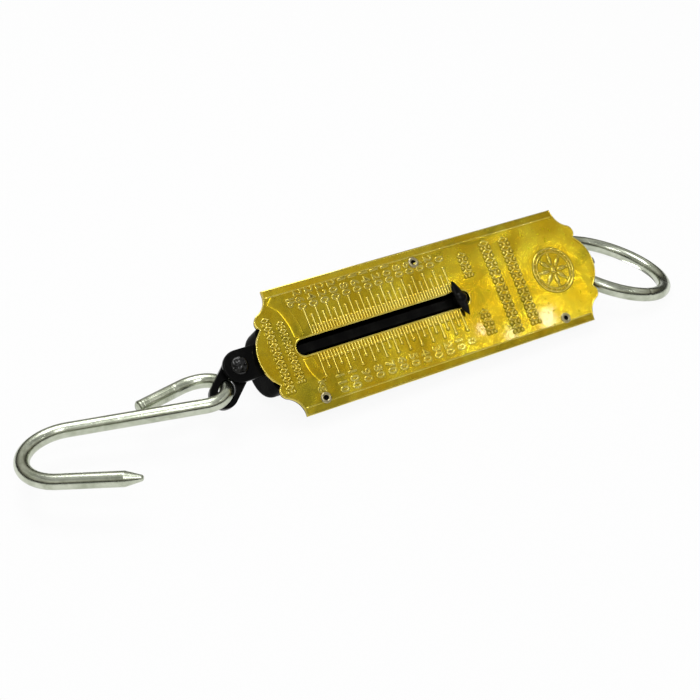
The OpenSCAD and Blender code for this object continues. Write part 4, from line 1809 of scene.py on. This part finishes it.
@dataclass
class Studio:
    """The pale floor, the dim room round it, the lamps and the camera."""

    face: FaceFrame
    floor_drop: float = 27.5
    floor_half: float = 30000.0
    floor_tone: float = 0.9
    floor_seen: float = 0.93
    floor_mirrored: float = 0.60
    wall_r: float = 1500.0
    wall_top: float = 74.0
    wall_steps: int = 64
    wall_below: float = 0.42
    wall_grain: Grain = Grain(2.4, 3, 0.6)
    world_light: float = 0.5
    camera_at: Point = (0.074683, -0.519424, -0.421972)
    camera_down: Point = (0.92293, 0.26978, -0.27463)
    lens: float = 62.09
    sensor: float = 36.0
    clip: Spot = (0.01, 20.0)

    def build(self) -> None:
        """Builds the whole studio."""
        self.floor()
        self.room()
        self.world()
        for lamp in LAMPS:
            self.hang(lamp)
        self.camera()

    def stage_mesh(
        self, name: str, rows: Sequence[Vector], faces: Sequence[Sequence[int]]
    ) -> bpy.types.Object:
        """Makes a mesh of the stage from points in metres."""
        data = bpy.data.meshes.new(name)
        data.from_pydata(rows, [], faces)
        thing = new_object(name, data)
        return thing

    def mirror_rays(self, sheet: NodeSheet) -> Wire:
        """Returns 1 for mirrored and see-through rays."""
        path = sheet.node("ShaderNodeLightPath", out="Is Glossy Ray")
        return path.at_least(path.other("Is Transmission Ray"))

    def floor(self) -> None:
        """Lays the floor: white to the camera but for a soft shadow, paler in mirrors."""
        foot = self.face.origin - TABLE_UP * self.floor_drop * MM
        right, away = (way * self.floor_half * MM for way in (PICTURE_RIGHT, TABLE_AWAY))
        corners = [foot + right * a + away * b for a, b in ((-1, -1), (1, -1), (1, 1), (-1, 1))]
        floor = self.stage_mesh("floor", corners, [[0, 1, 2, 3]])
        material, sheet = new_material("pale_floor")
        matt = sheet.node("ShaderNodeBsdfDiffuse", {"Color": rgba(grey(self.floor_tone))})
        glow = sheet.node("ShaderNodeEmission", {"Color": rgba(grey(1.0)), "Strength": 1.0})
        clear = sheet.node("ShaderNodeBsdfTransparent")
        camera = sheet.node("ShaderNodeLightPath", out="Is Camera Ray")
        behind = sheet.node("ShaderNodeNewGeometry", out="Backfacing")
        whole = matt
        for share, other in (
            (self.mirror_rays(sheet) * self.floor_mirrored, glow),
            (camera * self.floor_seen, clear),
            (behind, clear),
        ):
            whole = sheet.node("ShaderNodeMixShader", {0: share, 1: whole, 2: other})
        sheet.node("ShaderNodeOutputMaterial", {"Surface": whole})
        floor.data.materials.append(material)

    def room(self) -> None:
        """Stands a dim wall round the table, above and below it, which only mirrors show."""
        steps = self.wall_steps
        foot = self.face.origin - TABLE_UP * (self.floor_drop - 1) * MM
        radius = self.wall_r * MM
        high = radius * math.tan(math.radians(self.wall_top))
        rows, faces = [], []
        for k in range(steps):
            a = FULL_TURN * k / steps
            spot = foot + PICTURE_RIGHT * math.cos(a) * radius + TABLE_AWAY * math.sin(a) * radius
            rows += [spot - TABLE_UP * high, spot + TABLE_UP * high]
            m = (k + 1) % steps
            faces.append([2 * k, 2 * m, 2 * m + 1, 2 * k + 1])
        wall = self.stage_mesh("room_wall", rows, faces)
        for hidden in ("visible_camera", "visible_diffuse", "visible_shadow"):
            setattr(wall, hidden, False)
        material, sheet = new_material("dim_wall")
        here = sheet.place()
        along = {0: here, 1: TABLE_UP}
        rise = sheet.node("ShaderNodeVectorMath", along, out="Value", operation="DOT_PRODUCT")
        table = float(foot.dot(TABLE_UP))
        tone = sheet.ramp(((rise - table) / high).maths("ABSOLUTE"), WALL_TONES)
        dapple = sheet.ramp(sheet.noise(here, self.wall_grain), WALL_DAPPLE)
        tone = sheet.mix(1.0, tone, dapple, "MULTIPLY")
        dimmer = sheet.mix(1.0, tone, grey(self.wall_below), "MULTIPLY")
        tone = sheet.mix(rise.maths("LESS_THAN", table), tone, dimmer)
        glow = sheet.node("ShaderNodeEmission", {"Color": tone, "Strength": 1.0})
        sheet.node("ShaderNodeOutputMaterial", {"Surface": glow})
        wall.data.materials.append(material)

    def world(self) -> None:
        """Fills the world with white, softer where it lights the object."""
        world = bpy.data.worlds.new("studio")
        world.use_nodes = True
        sheet = NodeSheet(world.node_tree)
        camera = sheet.node("ShaderNodeLightPath", out="Is Camera Ray")
        shown = camera.at_least(self.mirror_rays(sheet))
        light, white = (
            sheet.node("ShaderNodeBackground", {"Color": rgba(grey(1.0)), "Strength": strength})
            for strength in (self.world_light, 1.0)
        )
        both = sheet.node("ShaderNodeMixShader", {0: shown, 1: light, 2: white})
        sheet.node("ShaderNodeOutputWorld", {"Surface": both})
        bpy.context.scene.world = world

    def hang(self, lamp: Lamp) -> None:
        """Hangs one soft lamp that looks at the scale."""
        data = bpy.data.lights.new(lamp.name, "AREA")
        data.shape = "RECTANGLE"
        data.size, data.size_y = lamp.size
        data.energy = lamp.watts
        away = PICTURE_RIGHT * lamp.side + TABLE_AWAY * lamp.away + TABLE_UP * lamp.up
        turn = away.to_track_quat("Z", "Y").to_matrix().to_4x4()
        thing = new_object(lamp.name, data)
        thing.matrix_world = Matrix.Translation(self.face.origin + away) @ turn

    def camera(self) -> None:
        """Sets the camera at the photograph's viewing angle."""
        data = bpy.data.cameras.new("camera")
        data.sensor_width = self.sensor
        data.lens = self.lens
        data.clip_start, data.clip_end = self.clip
        eye = new_object("camera", data)
        up = -Vector(self.camera_down).normalized()
        turn = Matrix((PICTURE_RIGHT, up, PICTURE_RIGHT.cross(up))).transposed().to_4x4()
        eye.matrix_world = Matrix.Translation(Vector(self.camera_at)) @ turn
        bpy.context.scene.camera = eye


def main() -> None:
    """Loads the frame and builds each sub-assembly in order."""
    logging.basicConfig(level=logging.INFO, format="%(name)s: %(message)s")
    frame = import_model()
    face = FaceFrame()
    maker = Maker(face)
    Studio(face).build()
    FramePaint().build(frame["nodes"])
    FaceRelief(maker).build()
    PlateRivets(maker).build()
    DrawBar(maker).build()
    Pointer(maker).build()
    HookRivet(maker).build()
    SwivelLink(maker).build(frame["nodes"]["swivel_link"])
    Hook(maker).build()
    HangingRing(maker).build()
    RingEye(maker).build()
    Spring(maker).build()
    bpy.context.scene.view_settings.view_transform = "Standard"
    LOG.info("all pieces are built")


if __name__ == "__main__":
    main()
